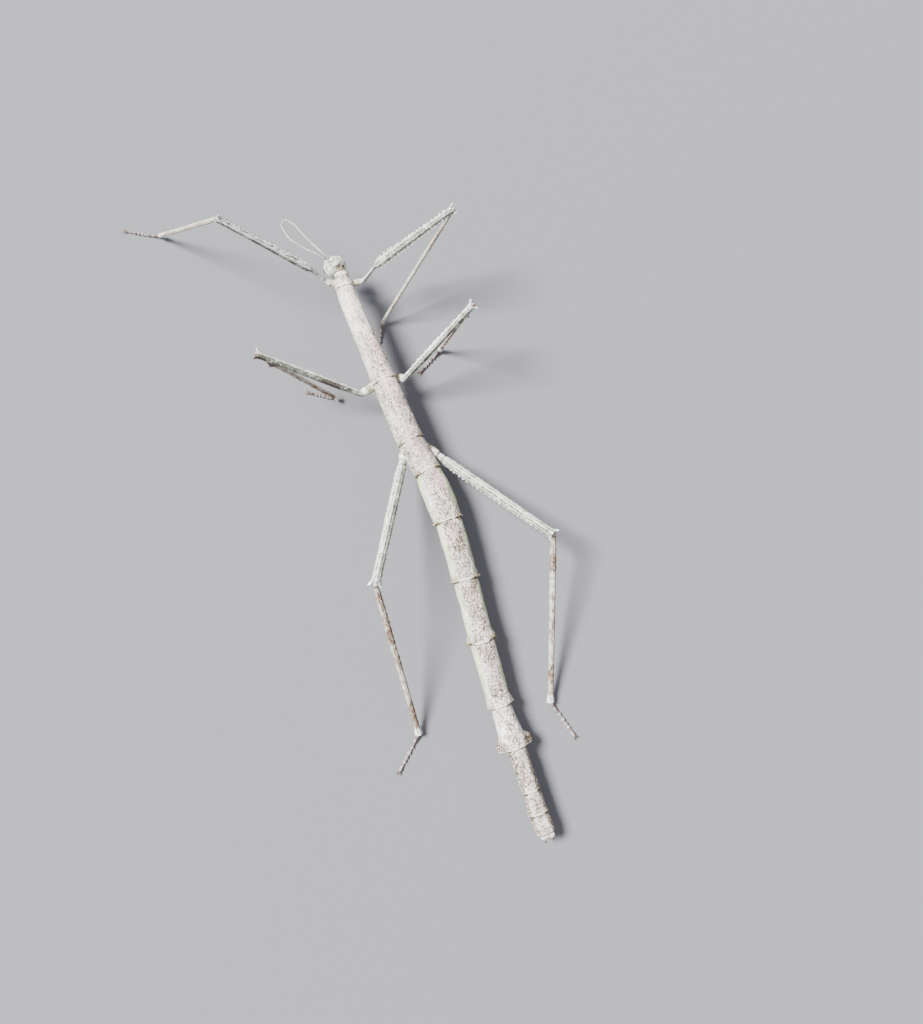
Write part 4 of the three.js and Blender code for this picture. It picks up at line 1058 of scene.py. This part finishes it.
tibiae, tarsi = [], []
for number, (pair, side, _, _, hip, femur, _, shin, foot) in enumerate(STANCE):
    _, knee, ankle = leg_points(pair, hip, femur, shin)
    tibiae.append(tibia_tube(pair, knee, ankle, 10 * number + 5))
    tarsi.append(tarsus_tube(pair, ankle, foot))
print("tibia points:", [part["points"].shape for part in tibiae])

# %% [markdown]
# ## One skin
# The tubes overlap at every joint. A Boolean union keeps only their outside and knits it into one
# closed surface. It can't know what a new point on a crossing line should remember, so such a
# point has no zone: it takes its facts from its neighbours, and marks where the skin is smoothed
# into a soft fold.

# %% Join the tubes into one skin
def united(body, tubes):
    other = shape_object("joining", tube_mesh("joining", tubes))
    union = body.modifiers.new("union", "BOOLEAN")
    union.operation, union.solver, union.object = "UNION", "MANIFOLD", other
    shown = body.evaluated_get(bpy.context.evaluated_depsgraph_get())
    mesh = bpy.data.meshes.new_from_object(shown)
    body.modifiers.clear()
    body.data = mesh
    bpy.data.objects.remove(other)


skin = shape_object("skin", tube_mesh("skin", [trunk]))
for group in (
    hips, [head], femora, tibiae, tarsi, mouthparts[:1], mouthparts[1:], antennae, tail[:1], tail[1:],
    lobes[:2], lobes[2:],
):
    united(skin, group)
    print("joined", len(group), "tubes:", len(skin.data.vertices), "points")


# %% Repair and relax the joins
def read(mesh, name, width):
    kind = "value" if width == 1 else "vector"
    values = np.zeros(len(mesh.vertices) * width, np.float32)
    mesh.attributes[name].data.foreach_get(kind, values)
    return values.reshape(-1, width).astype(float)


def spread_over(edges, values, weights):
    """Each point's sum of its neighbours' weighted values, and of their weights."""
    count = len(values)
    total, mass = np.zeros_like(values), np.zeros(count)
    for here, there in ((edges[:, 0], edges[:, 1]), (edges[:, 1], edges[:, 0])):
        mass += np.bincount(here, weights[there], count)
        for column in range(values.shape[1]):
            total[:, column] += np.bincount(here, weights[there] * values[there, column], count)
    return total, mass


HEAL_ROUNDS, SOFTEN_ROUNDS, RELAX_ROUNDS = 6, 4, 6

mesh = skin.data
edges = np.zeros(len(mesh.edges) * 2, np.int32)
mesh.edges.foreach_get("vertices", edges)
edges = edges.reshape(-1, 2)
facts = np.hstack([read(mesh, "zone", 1), *(read(mesh, key, 3) for key in FACTS)])
known = facts[:, 0] > 0.5
crossing = (~known).astype(float)
for _ in range(HEAL_ROUNDS):
    total, mass = spread_over(edges, facts, known.astype(float))
    heal = ~known & (mass > 0)
    facts[heal] = total[heal] / mass[heal, None]
    # a zone is a name and not a size, so the nearest whole one is taken
    facts[heal, 0] = np.round(facts[heal, 0])
    known |= heal

points = read(mesh, "position", 3) / MM - SHIFT
near_join, alike = crossing[:, None], np.ones(len(points))
for _ in range(SOFTEN_ROUNDS):
    total, mass = spread_over(edges, near_join, alike)
    near_join = np.maximum(near_join, 0.72 * total / np.maximum(mass, 1)[:, None] * 1.6)
near_join = np.clip(near_join, 0, 1)
for _ in range(RELAX_ROUNDS):
    total, mass = spread_over(edges, points, alike)
    points += 0.5 * near_join * (total / np.maximum(mass, 1)[:, None] - points)
print("points on a crossing line:", int(crossing.sum()), "of", len(points))

# %% [markdown]
# ## Relief
# Bark-like skin is never smooth: shallow dents and fine wrinkles run mostly lengthwise. Noise in
# each part's own axes, drawn out along it, moves the points along their normals. The hollows are
# remembered, so that the finish can paint shade into them.

# %% Relief
RELIEF = {
    "none": 0.0, "trunk": 1.35, "head": 0.6, "hip": 0.6, "femur": 0.35, "tibia": 0.35, "tarsus": 0.3, "feeler": 0.05,
    "mouth": 0.2, "tail": 0.5,
}
HOLLOW = 1 + 3 * FACTS.index("form") + 2

mesh.vertices.foreach_set("co", ((points + SHIFT) * MM).ravel())
mesh.update()
normals = np.zeros(len(points) * 3, np.float32)
mesh.vertex_normals.foreach_get("vector", normals)
normals = normals.reshape(-1, 3).astype(float)

zone_of_point = np.clip(np.round(facts[:, 0]), 0, len(ZONES) - 1).astype(int)
lay = facts[:, 1:4]
strength = np.array([RELIEF[name] for name in ZONES])[zone_of_point]
relief = 0.10 * noise(lay * [0.45, 1, 1], 1.9, 11) + 0.06 * noise(lay * [0.45, 1, 1], 0.8, 12)
relief = relief + 0.04 * noise(lay * [0.3, 1, 1], 0.42, 13)
height = strength * relief
moved = points + height[:, None] * normals
moved[:, 2] = np.maximum(moved[:, 2], 0.0)
facts[:, HOLLOW] = np.clip(relief / 0.12, -1, 1)
mesh.vertices.foreach_set("co", ((moved + SHIFT) * MM).ravel())
mesh.attributes["zone"].data.foreach_set("value", facts[:, 0].copy())
for number, key in enumerate(FACTS):
    mesh.attributes[key].data.foreach_set("vector", facts[:, 1 + 3 * number : 4 + 3 * number].ravel())
mesh.update()
print("relief, mm:", height.min().round(2), "to", height.max().round(2), "lowest point", moved[:, 2].min().round(3))

# %% [markdown]
# ## Eyes
# The eyes are small domes on the sides of the head, each set in its rimmed socket. A phasmid's eye
# has hundreds of facets, so the dome is dense and slightly dimpled: a golden-angle spiral sets a
# lens at even spacing all over it. They stay separate pieces, because they shine and skin doesn't.

# %% Eyes
LENSES = 620


def eye_mesh(name, side, rings=72, sides=112):
    tilt = np.linspace(0.02, np.pi - 0.02, rings)[:, None]
    _, across, over = ring_of(sides)
    out = grid(np.cos(tilt), np.sin(tilt) * across, np.sin(tilt) * over)
    order = np.arange(LENSES) + 0.5
    height, spin = 1 - 2 * order / LENSES, order * np.pi * (3 - np.sqrt(5))
    lenses = grid(height, np.sqrt(1 - height**2) * np.cos(spin), np.sqrt(1 - height**2) * np.sin(spin))
    nearest = np.max(out.reshape(-1, 3) @ lenses.T, axis=1).reshape(out.shape[:2])
    dimple = np.arccos(np.clip(nearest, -1, 1)) * EYE["radius"]
    size = EYE["radius"] - 0.25 * dimple * dimple / 0.1
    lay = np.moveaxis(out * size[..., None] * [0.97, 1.0, 1.0], -1, 0)
    centre = in_head(EYE["along"], side * EYE["aside"], EYE["up"])
    points = point_in(centre, (HEAD_AXES[1] * side, HEAD_AXES[0], HEAD_AXES[2]), *lay)
    return tube_mesh(name, [tube("head", points, lay, (dimple, out[..., 1], out[..., 2]))])


eyes = {
    side: shape_object(f"eye_dome_{side}", eye_mesh(f"eye_{side}", sign)) for side, sign in (("left", -1), ("right", 1))
}
print("eye diameter, mm:", 2 * EYE["radius"])

# %% [markdown]
# ## Claws
# A foot ends in two hooked claws with a soft pad between them. A claw is a curved cone that thins
# to a point, so it is a rod along a bent line. Both claws and the pad grow from one short bar.

# %% Claws
def claw_tubes(pair, ankle, bearing):
    length, width = LEG[pair][2], TARSUS_WIDTH[pair]
    axes = axes_across(heading(bearing))
    root = point_in(np.array([ankle[0], ankle[1], 0.95]), axes, length + 0.05, 0, 0)
    course = lambda *places: [point_in(root, axes, *at) for at in places]
    bar = course((-0.25, 0, 0), (0.25, 0, 0), (0.7, 0, 0))
    pad = course((0.4, 0, -0.2), (0.8, 0, -0.42), (1.1, 0, -0.5))
    curve = lambda side: (
        (0.2, side * width * 0.12, 0), (0.75, side * 0.5, 0.2), (1.35, side * 0.82, 0.02), (1.9, side * 0.92, -0.6),
    )
    hooks = [course(*curve(side)) for side in (-1, 1)]
    return [
        rod("tarsus", bar, lambda share, gone: width * 0.33 * (1 - 0.2 * share), sides=20, pitch=0.06, flatten=0.8),
        *(rod("tarsus", hook, lambda share, gone: 0.3 * (1 - 0.86 * share**1.5), pitch=0.06) for hook in hooks),
        rod("hip", pad, lambda share, gone: 0.34 * (1 + 0.25 * np.sin(np.pi * share)), pitch=0.06, flatten=0.7),
    ]


claws = {}
for pair, side, _, _, hip, femur, _, shin, foot in STANCE:
    ankle = leg_points(pair, hip, femur, shin)[2]
    name = f"{pair}_{side}"
    claws[name] = shape_object(f"claw_pair_{name}", tube_mesh(f"claws_{name}", claw_tubes(pair, ankle, foot)))
print("claw pairs:", len(claws))

# %% [markdown]
# ## What each piece stands for
# The skin replaces every part of flesh in the plan. An eye or a pair of claws replaces its own
# part. All of them ride on the one body.

# %% Smooth shading, bodies and what each piece replaces
flesh = [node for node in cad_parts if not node.startswith(("eye_", "claws_"))]
for piece, nodes, slot in (
    [(skin, flesh, "body")]
    + [(dome, [f"eye_{side}"], "eyes") for side, dome in eyes.items()]
    + [(pair, [f"claws_{name}"], "claws") for name, pair in claws.items()]
):
    piece.data.shade_smooth()
    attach(piece, "root")
    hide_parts(*nodes)
print("triangles:", sum(len(face.vertices) - 2 for face in skin.data.polygons))

# %% [markdown]
# ## Building a finish from nodes
# A finish is a network of small steps, and a few helpers keep it readable: one adds a node and
# feeds it, one does a sum, one lays a colour over another through a mask, and one reads back what
# the mesh remembers. Colours are named as on a screen, by red, green and blue from 0 to 255.
# Effects that several finishes share are node groups, each built once with named inputs.

# %% Node helpers
def add(tree, kind, feeds=None, **settings):
    node = tree.nodes.new(kind)
    for key, value in settings.items():
        setattr(node, key, value)
    for key, value in (feeds or {}).items():
        if isinstance(value, bpy.types.NodeSocket):
            tree.links.new(value, node.inputs[key])
        else:
            node.inputs[key].default_value = value
    return node


def calc(tree, operation, *values, clamp=False):
    return add(tree, "ShaderNodeMath", dict(enumerate(values)), operation=operation, use_clamp=clamp).outputs[0]


def light_of(colour):
    """A screen colour turned into the linear light that nodes use. A socket stays as it is."""
    if isinstance(colour, bpy.types.NodeSocket):
        return colour
    screen = np.array(colour) / 255
    return (*np.where(screen <= 0.04045, screen / 12.92, ((screen + 0.055) / 1.055) ** 2.4), 1.0)


def over_by(tree, mask, below, above):
    feeds = {0: mask, 6: light_of(below), 7: light_of(above)}
    return add(tree, "ShaderNodeMix", feeds, data_type="RGBA").outputs[2]


def ramp_up(tree, value, low, high):
    feeds = {"Value": value, "From Min": low, "From Max": high}
    return add(tree, "ShaderNodeMapRange", feeds, interpolation_type="SMOOTHSTEP").outputs[0]


def remembered(tree, key):
    """A fact that the mesh carries, whole and as its three parts."""
    told = add(tree, "ShaderNodeAttribute", attribute_name=key).outputs["Vector"]
    return told, add(tree, "ShaderNodeSeparateXYZ", {0: told}).outputs


def new_finish(name):
    """A new material, with its tree and the inputs of its shader."""
    material = bpy.data.materials.new(name)
    material.use_nodes = True
    return material, material.node_tree, material.node_tree.nodes["Principled BSDF"].inputs


def effect(name, inputs, outputs):
    """An empty node group with its named inputs (name, kind, value) and outputs (name, kind)."""
    group = bpy.data.node_groups.new(name, "ShaderNodeTree")
    for title, kind, value in inputs:
        socket = group.interface.new_socket(title, in_out="INPUT", socket_type="NodeSocket" + kind)
        if value is not None:
            socket.default_value = value
    for title, kind in outputs:
        group.interface.new_socket(title, in_out="OUTPUT", socket_type="NodeSocket" + kind)
    return group, add(group, "NodeGroupInput").outputs, add(group, "NodeGroupOutput").inputs


def use(tree, group, feeds):
    return add(tree, "ShaderNodeGroup", feeds, node_tree=group).outputs[0]


# %% [markdown]
# Flecks are where noise rises above a level; stretching its place along the limb turns dots into
# dashes. Worm lines are where noise crosses its middle, which draws thin closed curves like the
# tracks that lichen leaves on bark. Both read the part's own axes, in millimetres. The grain is
# fine noise with shallow pits, for the bumps that are too small to be in the mesh.

# %% Flecks
def drawn_noise(tree, given, **settings):
    """Noise of the given size, drawn out along the part by the given stretch."""
    shorter = calc(tree, "DIVIDE", 1.0, given["Stretch"])
    squeeze = add(tree, "ShaderNodeCombineXYZ", {0: shorter, 1: 1.0, 2: 1.0}).outputs[0]
    place = add(tree, "ShaderNodeVectorMath", {0: given["Place"], 1: squeeze}, operation="MULTIPLY").outputs[0]
    feeds = {"Vector": place, "Scale": calc(tree, "DIVIDE", 1.0, given["Size"]), **settings}
    return add(tree, "ShaderNodeTexNoise", feeds).outputs[0]


FLECKS, given, out = effect(
    "Flecks",
    [("Place", "Vector", None), ("Size", "Float", 0.6), ("Stretch", "Float", 1.0), ("Cover", "Float", 0.4),
     ("Edge", "Float", 0.06)],
    [("Mask", "Float")],
)
grains = drawn_noise(FLECKS, given, Detail=2.5, Roughness=0.6)
# noise seldom leaves 0.28 to 0.72, so a cover from 0 to 1 moves the level between them
level = calc(FLECKS, "SUBTRACT", 0.72, calc(FLECKS, "MULTIPLY", given["Cover"], 0.44))
below, above = (calc(FLECKS, operation, level, given["Edge"]) for operation in ("SUBTRACT", "ADD"))
FLECKS.links.new(ramp_up(FLECKS, grains, below, above), out["Mask"])

# %% Worm lines
WORMS, given, out = effect(
    "Worm lines",
    [("Place", "Vector", None), ("Size", "Float", 1.2), ("Width", "Float", 0.03), ("Stretch", "Float", 1.0)],
    [("Mask", "Float")],
)
field = drawn_noise(WORMS, given, Detail=1.5, Distortion=0.5)
gap = calc(WORMS, "ABSOLUTE", calc(WORMS, "SUBTRACT", field, 0.5))
WORMS.links.new(calc(WORMS, "SUBTRACT", 1.0, ramp_up(WORMS, gap, 0.0, given["Width"])), out["Mask"])

# %% Shell grain
GRAIN, given, out = effect("Shell grain", [("Place", "Vector", None), ("Size", "Float", 0.3)], [("Height", "Float")])
scale = calc(GRAIN, "DIVIDE", 1.0, given["Size"])
feeds = {"Vector": given["Place"], "Scale": scale, "Detail": 3.0, "Roughness": 0.65}
fine = add(GRAIN, "ShaderNodeTexNoise", feeds).outputs[0]
feeds = {"Vector": given["Place"], "Scale": calc(GRAIN, "MULTIPLY", scale, 0.6)}
pits = add(GRAIN, "ShaderNodeTexVoronoi", feeds, feature="SMOOTH_F1").outputs[0]
GRAIN.links.new(calc(GRAIN, "SUBTRACT", fine, calc(GRAIN, "MULTIPLY", pits, 0.5)), out["Height"])
print("effects:", [group.name for group in (FLECKS, WORMS, GRAIN)])

# %% [markdown]
# ## The shell's finish
# All shells share one recipe, laid from the ground up. First comes a clouded and mottled ground,
# then the pink and green tints that the tube remembers, a brownish haze under thick freckles, a
# duller belly, bright places and stains, in places painted light and painted shade. Over them lie
# freckles of two sizes, as thick as the part's marks say, worm lines, chalky spots and dashes in
# the valleys between ridges. Last come painted shade in the hollows, ink spots, pale crests and
# dark seams. Each zone has its own colours.

# %% The recipe for a shell
def shell_finish(name, look):
    material, tree, shader = new_finish(name)
    spot = remembered(tree, "lay")[0]
    crest, seam, hollow = remembered(tree, "form")[1]
    green, rosy, stain = remembered(tree, "tints")[1]
    freckle, ink, bright = remembered(tree, "marks")[1]
    rise = remembered(tree, "where")[1][2]
    times = lambda *values: calc(tree, "MULTIPLY", *values, clamp=True)
    plus = lambda *values: calc(tree, "ADD", *values)
    flecks = lambda size, cover, stretch=1.0, edge=0.06: use(
        tree, FLECKS, {"Place": spot, "Size": size, "Cover": cover, "Stretch": stretch, "Edge": edge}
    )

    pale, deep, size = look["ground"]
    colour = over_by(tree, flecks(size, 0.5, 1.6, 0.14), pale, deep)
    colour = over_by(tree, times(flecks(size * 0.34, 0.46, 1.3, 0.09), 0.6), colour, deep)
    colour = over_by(tree, times(rosy, plus(0.4, flecks(2.2, 0.6, 1.3, 0.12))), colour, look["rose"])
    colour = over_by(tree, times(green, plus(0.5, flecks(1.6, 0.6, 1.8, 0.12))), colour, look["mint"])
    tone, strength = look["haze"]
    colour = over_by(tree, times(times(freckle, freckle), strength), colour, tone)
    tone, strength = look["belly"]
    colour = over_by(tree, times(ramp_up(tree, rise, 0.0, -0.6), strength), colour, tone)
    colour = over_by(tree, times(bright, plus(0.5, flecks(1.2, 0.65, 1.5, 0.1))), colour, look["white"])
    colour = over_by(tree, times(stain, plus(0.5, flecks(0.9, 0.62, 1.3, 0.08))), colour, look["stain"])

    freckle_tone, size, stretch, strength = look["flecks"]
    thick = plus(0.1, calc(tree, "MULTIPLY", freckle, 0.48))
    colour = over_by(tree, times(flecks(size, thick, stretch, 0.028), strength), colour, freckle_tone)
    colour = over_by(tree, times(flecks(size * 0.5, thick, 1.2, 0.04), strength * 0.85), colour, freckle_tone)
    tone, size, width, strength = look["worms"]
    lines = use(tree, WORMS, {"Place": spot, "Size": size, "Width": width, "Stretch": 1.5})
    colour = over_by(tree, times(times(lines, strength), freckle), colour, tone)
    tone, size, cover, strength = look["chalk"]
    colour = over_by(tree, times(flecks(size, cover, 1.3), strength), colour, tone)
    tone, size, strength = look["dashes"]
    valley = calc(tree, "SUBTRACT", 1.0, crest)
    colour = over_by(tree, times(times(valley, flecks(size, 0.42, 4.0)), strength), colour, tone)

    # Painted shade: the relief's hollows are darkened.
    colour = over_by(tree, times(ramp_up(tree, hollow, 0.1, -0.8), 0.3), colour, freckle_tone)
    colour = over_by(tree, times(ink, 0.9), colour, look["ink"])
    tone, strength = look["crest"]
    clean = calc(tree, "SUBTRACT", 1.0, calc(tree, "MAXIMUM", stain, ink), clamp=True)
    colour = over_by(tree, times(times(crest, strength), plus(0.15, clean)), colour, tone)
    colour = over_by(tree, times(seam, 0.85), colour, look["seam"])
    tree.links.new(colour, shader["Base Color"])

    low, high = look["rough"]
    tree.links.new(plus(low, times(flecks(0.9, 0.5, 1.0, 0.15), high - low)), shader["Roughness"])
    size, strength = look["grain"]
    height = use(tree, GRAIN, {"Place": spot, "Size": size})
    raised = plus(height, calc(tree, "MULTIPLY", lines, -0.35))
    grain = add(tree, "ShaderNodeBump", {"Height": raised, "Strength": strength, "Distance": 0.00012})
    tree.links.new(grain.outputs[0], shader["Normal"])
    shader["Specular IOR Level"].default_value = 0.35
    return material


# %% The colours of each zone
# Beside a colour stand, in millimetres where they are lengths:
# ground: the darker cloud and the clouds' size; haze, belly, crest: strength;
# flecks: size, stretch, strength; worms: size, width, strength; chalk: size, cover, strength;
# dashes: size, strength. rough is from low to high, and grain is size and strength.
LOOKS = {
    "bark shell": {
        "ground": ((244, 237, 234), (172, 163, 162), 3.6), "haze": ((160, 142, 124), 1.2),
        "belly": ((160, 138, 118), 0.6), "rose": (196, 154, 160), "mint": (182, 204, 142),
        "white": (252, 246, 242), "stain": (112, 94, 26),
        "flecks": ((70, 60, 44), 0.85, 1.7, 0.92), "worms": ((72, 62, 46), 1.5, 0.045, 0.85),
        "chalk": ((252, 244, 232), 0.7, 0.36, 0.7), "dashes": ((124, 104, 92), 0.8, 0.2), "ink": (52, 42, 32),
        "crest": ((250, 241, 226), 0.65), "seam": (34, 22, 14), "rough": (0.6, 0.85), "grain": (0.3, 0.65),
    },
    "head shell": {
        "ground": ((236, 233, 228), (196, 196, 186), 2.2), "haze": ((160, 160, 138), 1.2),
        "belly": ((156, 140, 120), 0.5), "rose": (186, 108, 92), "mint": (176, 196, 164),
        "white": (250, 247, 246), "stain": (80, 50, 26),
        "flecks": ((72, 72, 62), 0.85, 1.2, 0.9), "worms": ((70, 68, 58), 1.5, 0.05, 0.9),
        "chalk": ((251, 249, 246), 0.9, 0.35, 0.7), "dashes": ((140, 134, 120), 0.5, 0.1), "ink": (58, 52, 42),
        "crest": ((250, 246, 238), 0.7), "seam": (52, 40, 28), "rough": (0.58, 0.8), "grain": (0.28, 0.7),
    },
    # A thigh's stain colour also paints the shade on its rear and underside.
    "thigh shell": {
        "ground": ((227, 231, 224), (192, 198, 186), 2.8), "haze": ((164, 164, 142), 1.1),
        "belly": ((112, 102, 78), 0.7), "rose": (168, 162, 186), "mint": (190, 204, 156),
        "white": (249, 251, 250), "stain": (74, 66, 40),
        "flecks": ((72, 72, 62), 0.8, 2.4, 0.88), "worms": ((82, 82, 70), 1.4, 0.03, 0.7),
        "chalk": ((249, 250, 248), 0.8, 0.32, 0.6), "dashes": ((78, 80, 72), 0.7, 0.75), "ink": (50, 38, 26),
        "crest": ((247, 250, 245), 0.75), "seam": (48, 36, 26), "rough": (0.58, 0.82), "grain": (0.26, 0.6),
    },
    "shin shell": {
        "ground": ((217, 209, 199), (176, 167, 152), 3.0), "haze": ((196, 176, 168), 0.5),
        "belly": ((92, 72, 54), 0.6), "rose": (156, 94, 78), "mint": (194, 198, 148),
        "white": (244, 240, 234), "stain": (108, 76, 42),
        "flecks": ((74, 56, 46), 0.8, 1.8, 0.8), "worms": ((86, 68, 56), 1.4, 0.03, 0.6),
        "chalk": ((240, 234, 228), 0.7, 0.3, 0.6), "dashes": ((84, 66, 44), 0.6, 0.6), "ink": (44, 24, 20),
        "crest": ((234, 227, 216), 0.5), "seam": (48, 32, 24), "rough": (0.58, 0.82), "grain": (0.24, 0.6),
    },
    "foot shell": {
        "ground": ((204, 193, 192), (166, 152, 146), 2.2), "haze": ((180, 164, 154), 0.5),
        "belly": ((86, 68, 52), 0.7), "rose": (144, 98, 80), "mint": (188, 192, 156),
        "white": (244, 239, 238), "stain": (76, 58, 44),
        "flecks": ((68, 54, 46), 0.9, 1.6, 0.75), "worms": ((86, 70, 58), 1.0, 0.028, 0.5),
        "chalk": ((238, 231, 230), 0.7, 0.3, 0.6), "dashes": ((84, 68, 54), 0.5, 0.3), "ink": (44, 32, 26),
        "crest": ((238, 231, 228), 0.5), "seam": (50, 36, 28), "rough": (0.56, 0.8), "grain": (0.22, 0.5),
    },
    "feeler shell": {
        "ground": ((214, 204, 206), (176, 164, 172), 2.6), "haze": ((214, 206, 196), 0.4),
        "belly": ((140, 120, 106), 0.4), "rose": (150, 116, 110), "mint": (176, 178, 150),
        "white": (236, 228, 226), "stain": (100, 78, 60),
        "flecks": ((112, 96, 88), 0.5, 1.6, 0.6), "worms": ((120, 104, 94), 0.8, 0.02, 0.2),
        "chalk": ((236, 228, 224), 0.5, 0.35, 0.5), "dashes": ((120, 104, 94), 0.3, 0.2), "ink": (54, 42, 36),
        "crest": ((228, 220, 216), 0.5), "seam": (92, 74, 62), "rough": (0.5, 0.7), "grain": (0.18, 0.35),
    },
}
ZONE_FINISH = {
    "trunk": "bark shell", "head": "head shell", "hip": "bark shell", "femur": "thigh shell", "tibia": "shin shell",
    "tarsus": "foot shell", "feeler": "feeler shell", "mouth": "foot shell", "tail": "bark shell",
}
skin.data.materials.clear()
for name, look in LOOKS.items():
    skin.data.materials.append(shell_finish(name, look))

# %% [markdown]
# Every zone's finish is a slot of the one skin, and each face names its slot. Where zones meet, a
# face takes the middle one of its corners' finishes, so that one odd corner doesn't decide.

# %% Give each face its zone's finish
order = list(LOOKS)
of_zone = np.array([0] + [order.index(ZONE_FINISH[name]) for name in ZONES[1:]])
point_finish = of_zone[zone_of_point]
loop_points = np.zeros(len(mesh.loops), np.int32)
mesh.loops.foreach_get("vertex_index", loop_points)
starts = np.zeros(len(mesh.polygons), np.int32)
mesh.polygons.foreach_get("loop_start", starts)
of_face = np.sort(np.stack([point_finish[loop_points[starts + i]] for i in range(3)], -1), axis=-1)[:, 1]
mesh.polygons.foreach_set("material_index", of_face.astype(np.int32))
print("faces of each finish:", dict(zip(order, np.bincount(of_face, minlength=len(order)).tolist())))

# %% [markdown]
# ## Eyes and claws
# An eye is smooth and glossy over a mottled olive-brown, with darker bars that cross it. A clear
# coat gives its wet glint. A claw is brown horn at its root and nearly black at its tip.

# %% Eye finish
eye_finish, tree, shader = new_finish("eye lens")
spot = remembered(tree, "lay")[0]
dimple = remembered(tree, "where")[1][0]
mottle = use(tree, FLECKS, {"Place": spot, "Size": 0.5, "Cover": 0.5, "Stretch": 0.5, "Edge": 0.1})
bars = use(tree, WORMS, {"Place": spot, "Size": 0.9, "Width": 0.05, "Stretch": 0.4})
colour = over_by(tree, mottle, (150, 134, 100), (96, 84, 62))
colour = over_by(tree, calc(tree, "MULTIPLY", bars, 0.7), colour, (52, 42, 32))
colour = over_by(tree, ramp_up(tree, dimple, 0.05, 0.16), colour, (60, 50, 38))
tree.links.new(colour, shader["Base Color"])
tree.links.new(calc(tree, "ADD", 0.22, calc(tree, "MULTIPLY", mottle, 0.1)), shader["Roughness"])
shader["Coat Weight"].default_value = 0.5
shader["Coat Roughness"].default_value = 0.08
for dome in eyes.values():
    dome.data.materials.append(eye_finish)

# %% Claw finish
claw_finish, tree, shader = new_finish("claw horn")
spot = remembered(tree, "lay")[0]
toward_tip = remembered(tree, "where")[1][0]
streaks = use(tree, FLECKS, {"Place": spot, "Size": 0.2, "Cover": 0.5, "Stretch": 4.0, "Edge": 0.12})
colour = over_by(tree, ramp_up(tree, toward_tip, 0.15, 0.75), (112, 86, 60), (38, 27, 21))
colour = over_by(tree, calc(tree, "MULTIPLY", streaks, 0.4), colour, (70, 48, 34))
tree.links.new(colour, shader["Base Color"])
tree.links.new(calc(tree, "ADD", 0.3, calc(tree, "MULTIPLY", streaks, 0.2)), shader["Roughness"])
for pair in claws.values():
    pair.data.materials.append(claw_finish)
print("finishes:", order + [eye_finish.name, claw_finish.name])

# %% [markdown]
# ## Floor and light
# A plain pale floor and soft studio light. Lamps close by would leave the floor's far end dark, so
# each lamp here is a wide one far away, which Blender calls a sun: its angle says how soft its
# shadows are. The main lamp is on the animal's left and ahead of it, high up, so that its right
# side falls into gentle shade. The world fills the shadows.

# %% Floor
FLOOR_REACH = 12  # metres, past the edge of every view
corners = [(x * FLOOR_REACH, y * FLOOR_REACH, 0) for x, y in ((-1, -1), (1, -1), (1, 1), (-1, 1))]
floor_mesh = bpy.data.meshes.new("floor")
floor_mesh.from_pydata(corners, [], [(0, 1, 2, 3)])
floor = shape_object("floor", floor_mesh)
paper, tree, shader = new_finish("studio paper")
place = add(tree, "ShaderNodeTexCoord").outputs["Object"]
tooth = add(tree, "ShaderNodeTexNoise", {"Vector": place, "Scale": 700.0, "Detail": 3.0}).outputs[0]
colour = over_by(tree, calc(tree, "MULTIPLY", tooth, 0.3), (112, 112, 115), (107, 107, 110))
raised = add(tree, "ShaderNodeBump", {"Height": tooth, "Strength": 0.1, "Distance": 0.0002}).outputs[0]
tree.links.new(colour, shader["Base Color"])
tree.links.new(raised, shader["Normal"])
shader["Roughness"].default_value = 0.9
floor_mesh.materials.append(paper)

# %% Lamps
world = bpy.data.worlds.new("room")
bpy.context.scene.world = world
world.use_nodes = True
sky = world.node_tree.nodes["Background"].inputs
sky["Color"].default_value = light_of((228, 230, 242))
sky["Strength"].default_value = 0.75
# name, where it stands, angle across in degrees, strength
LAMPS = [("window", (-0.4, 0.3, 0.66), 20, 15.5), ("fill", (0.5, -0.35, 0.55), 60, 0.4)]
for name, at, across, power in LAMPS:
    light = bpy.data.lights.new(name, "SUN")
    light.angle, light.energy = np.radians(across), power
    lamp = bpy.data.objects.new(name, light)
    lamp.location = at
    lamp.rotation_euler = (-lamp.location).to_track_quat("-Z", "Y").to_euler()
    bpy.context.scene.collection.objects.link(lamp)
print("lamps:", [lamp[0] for lamp in LAMPS])
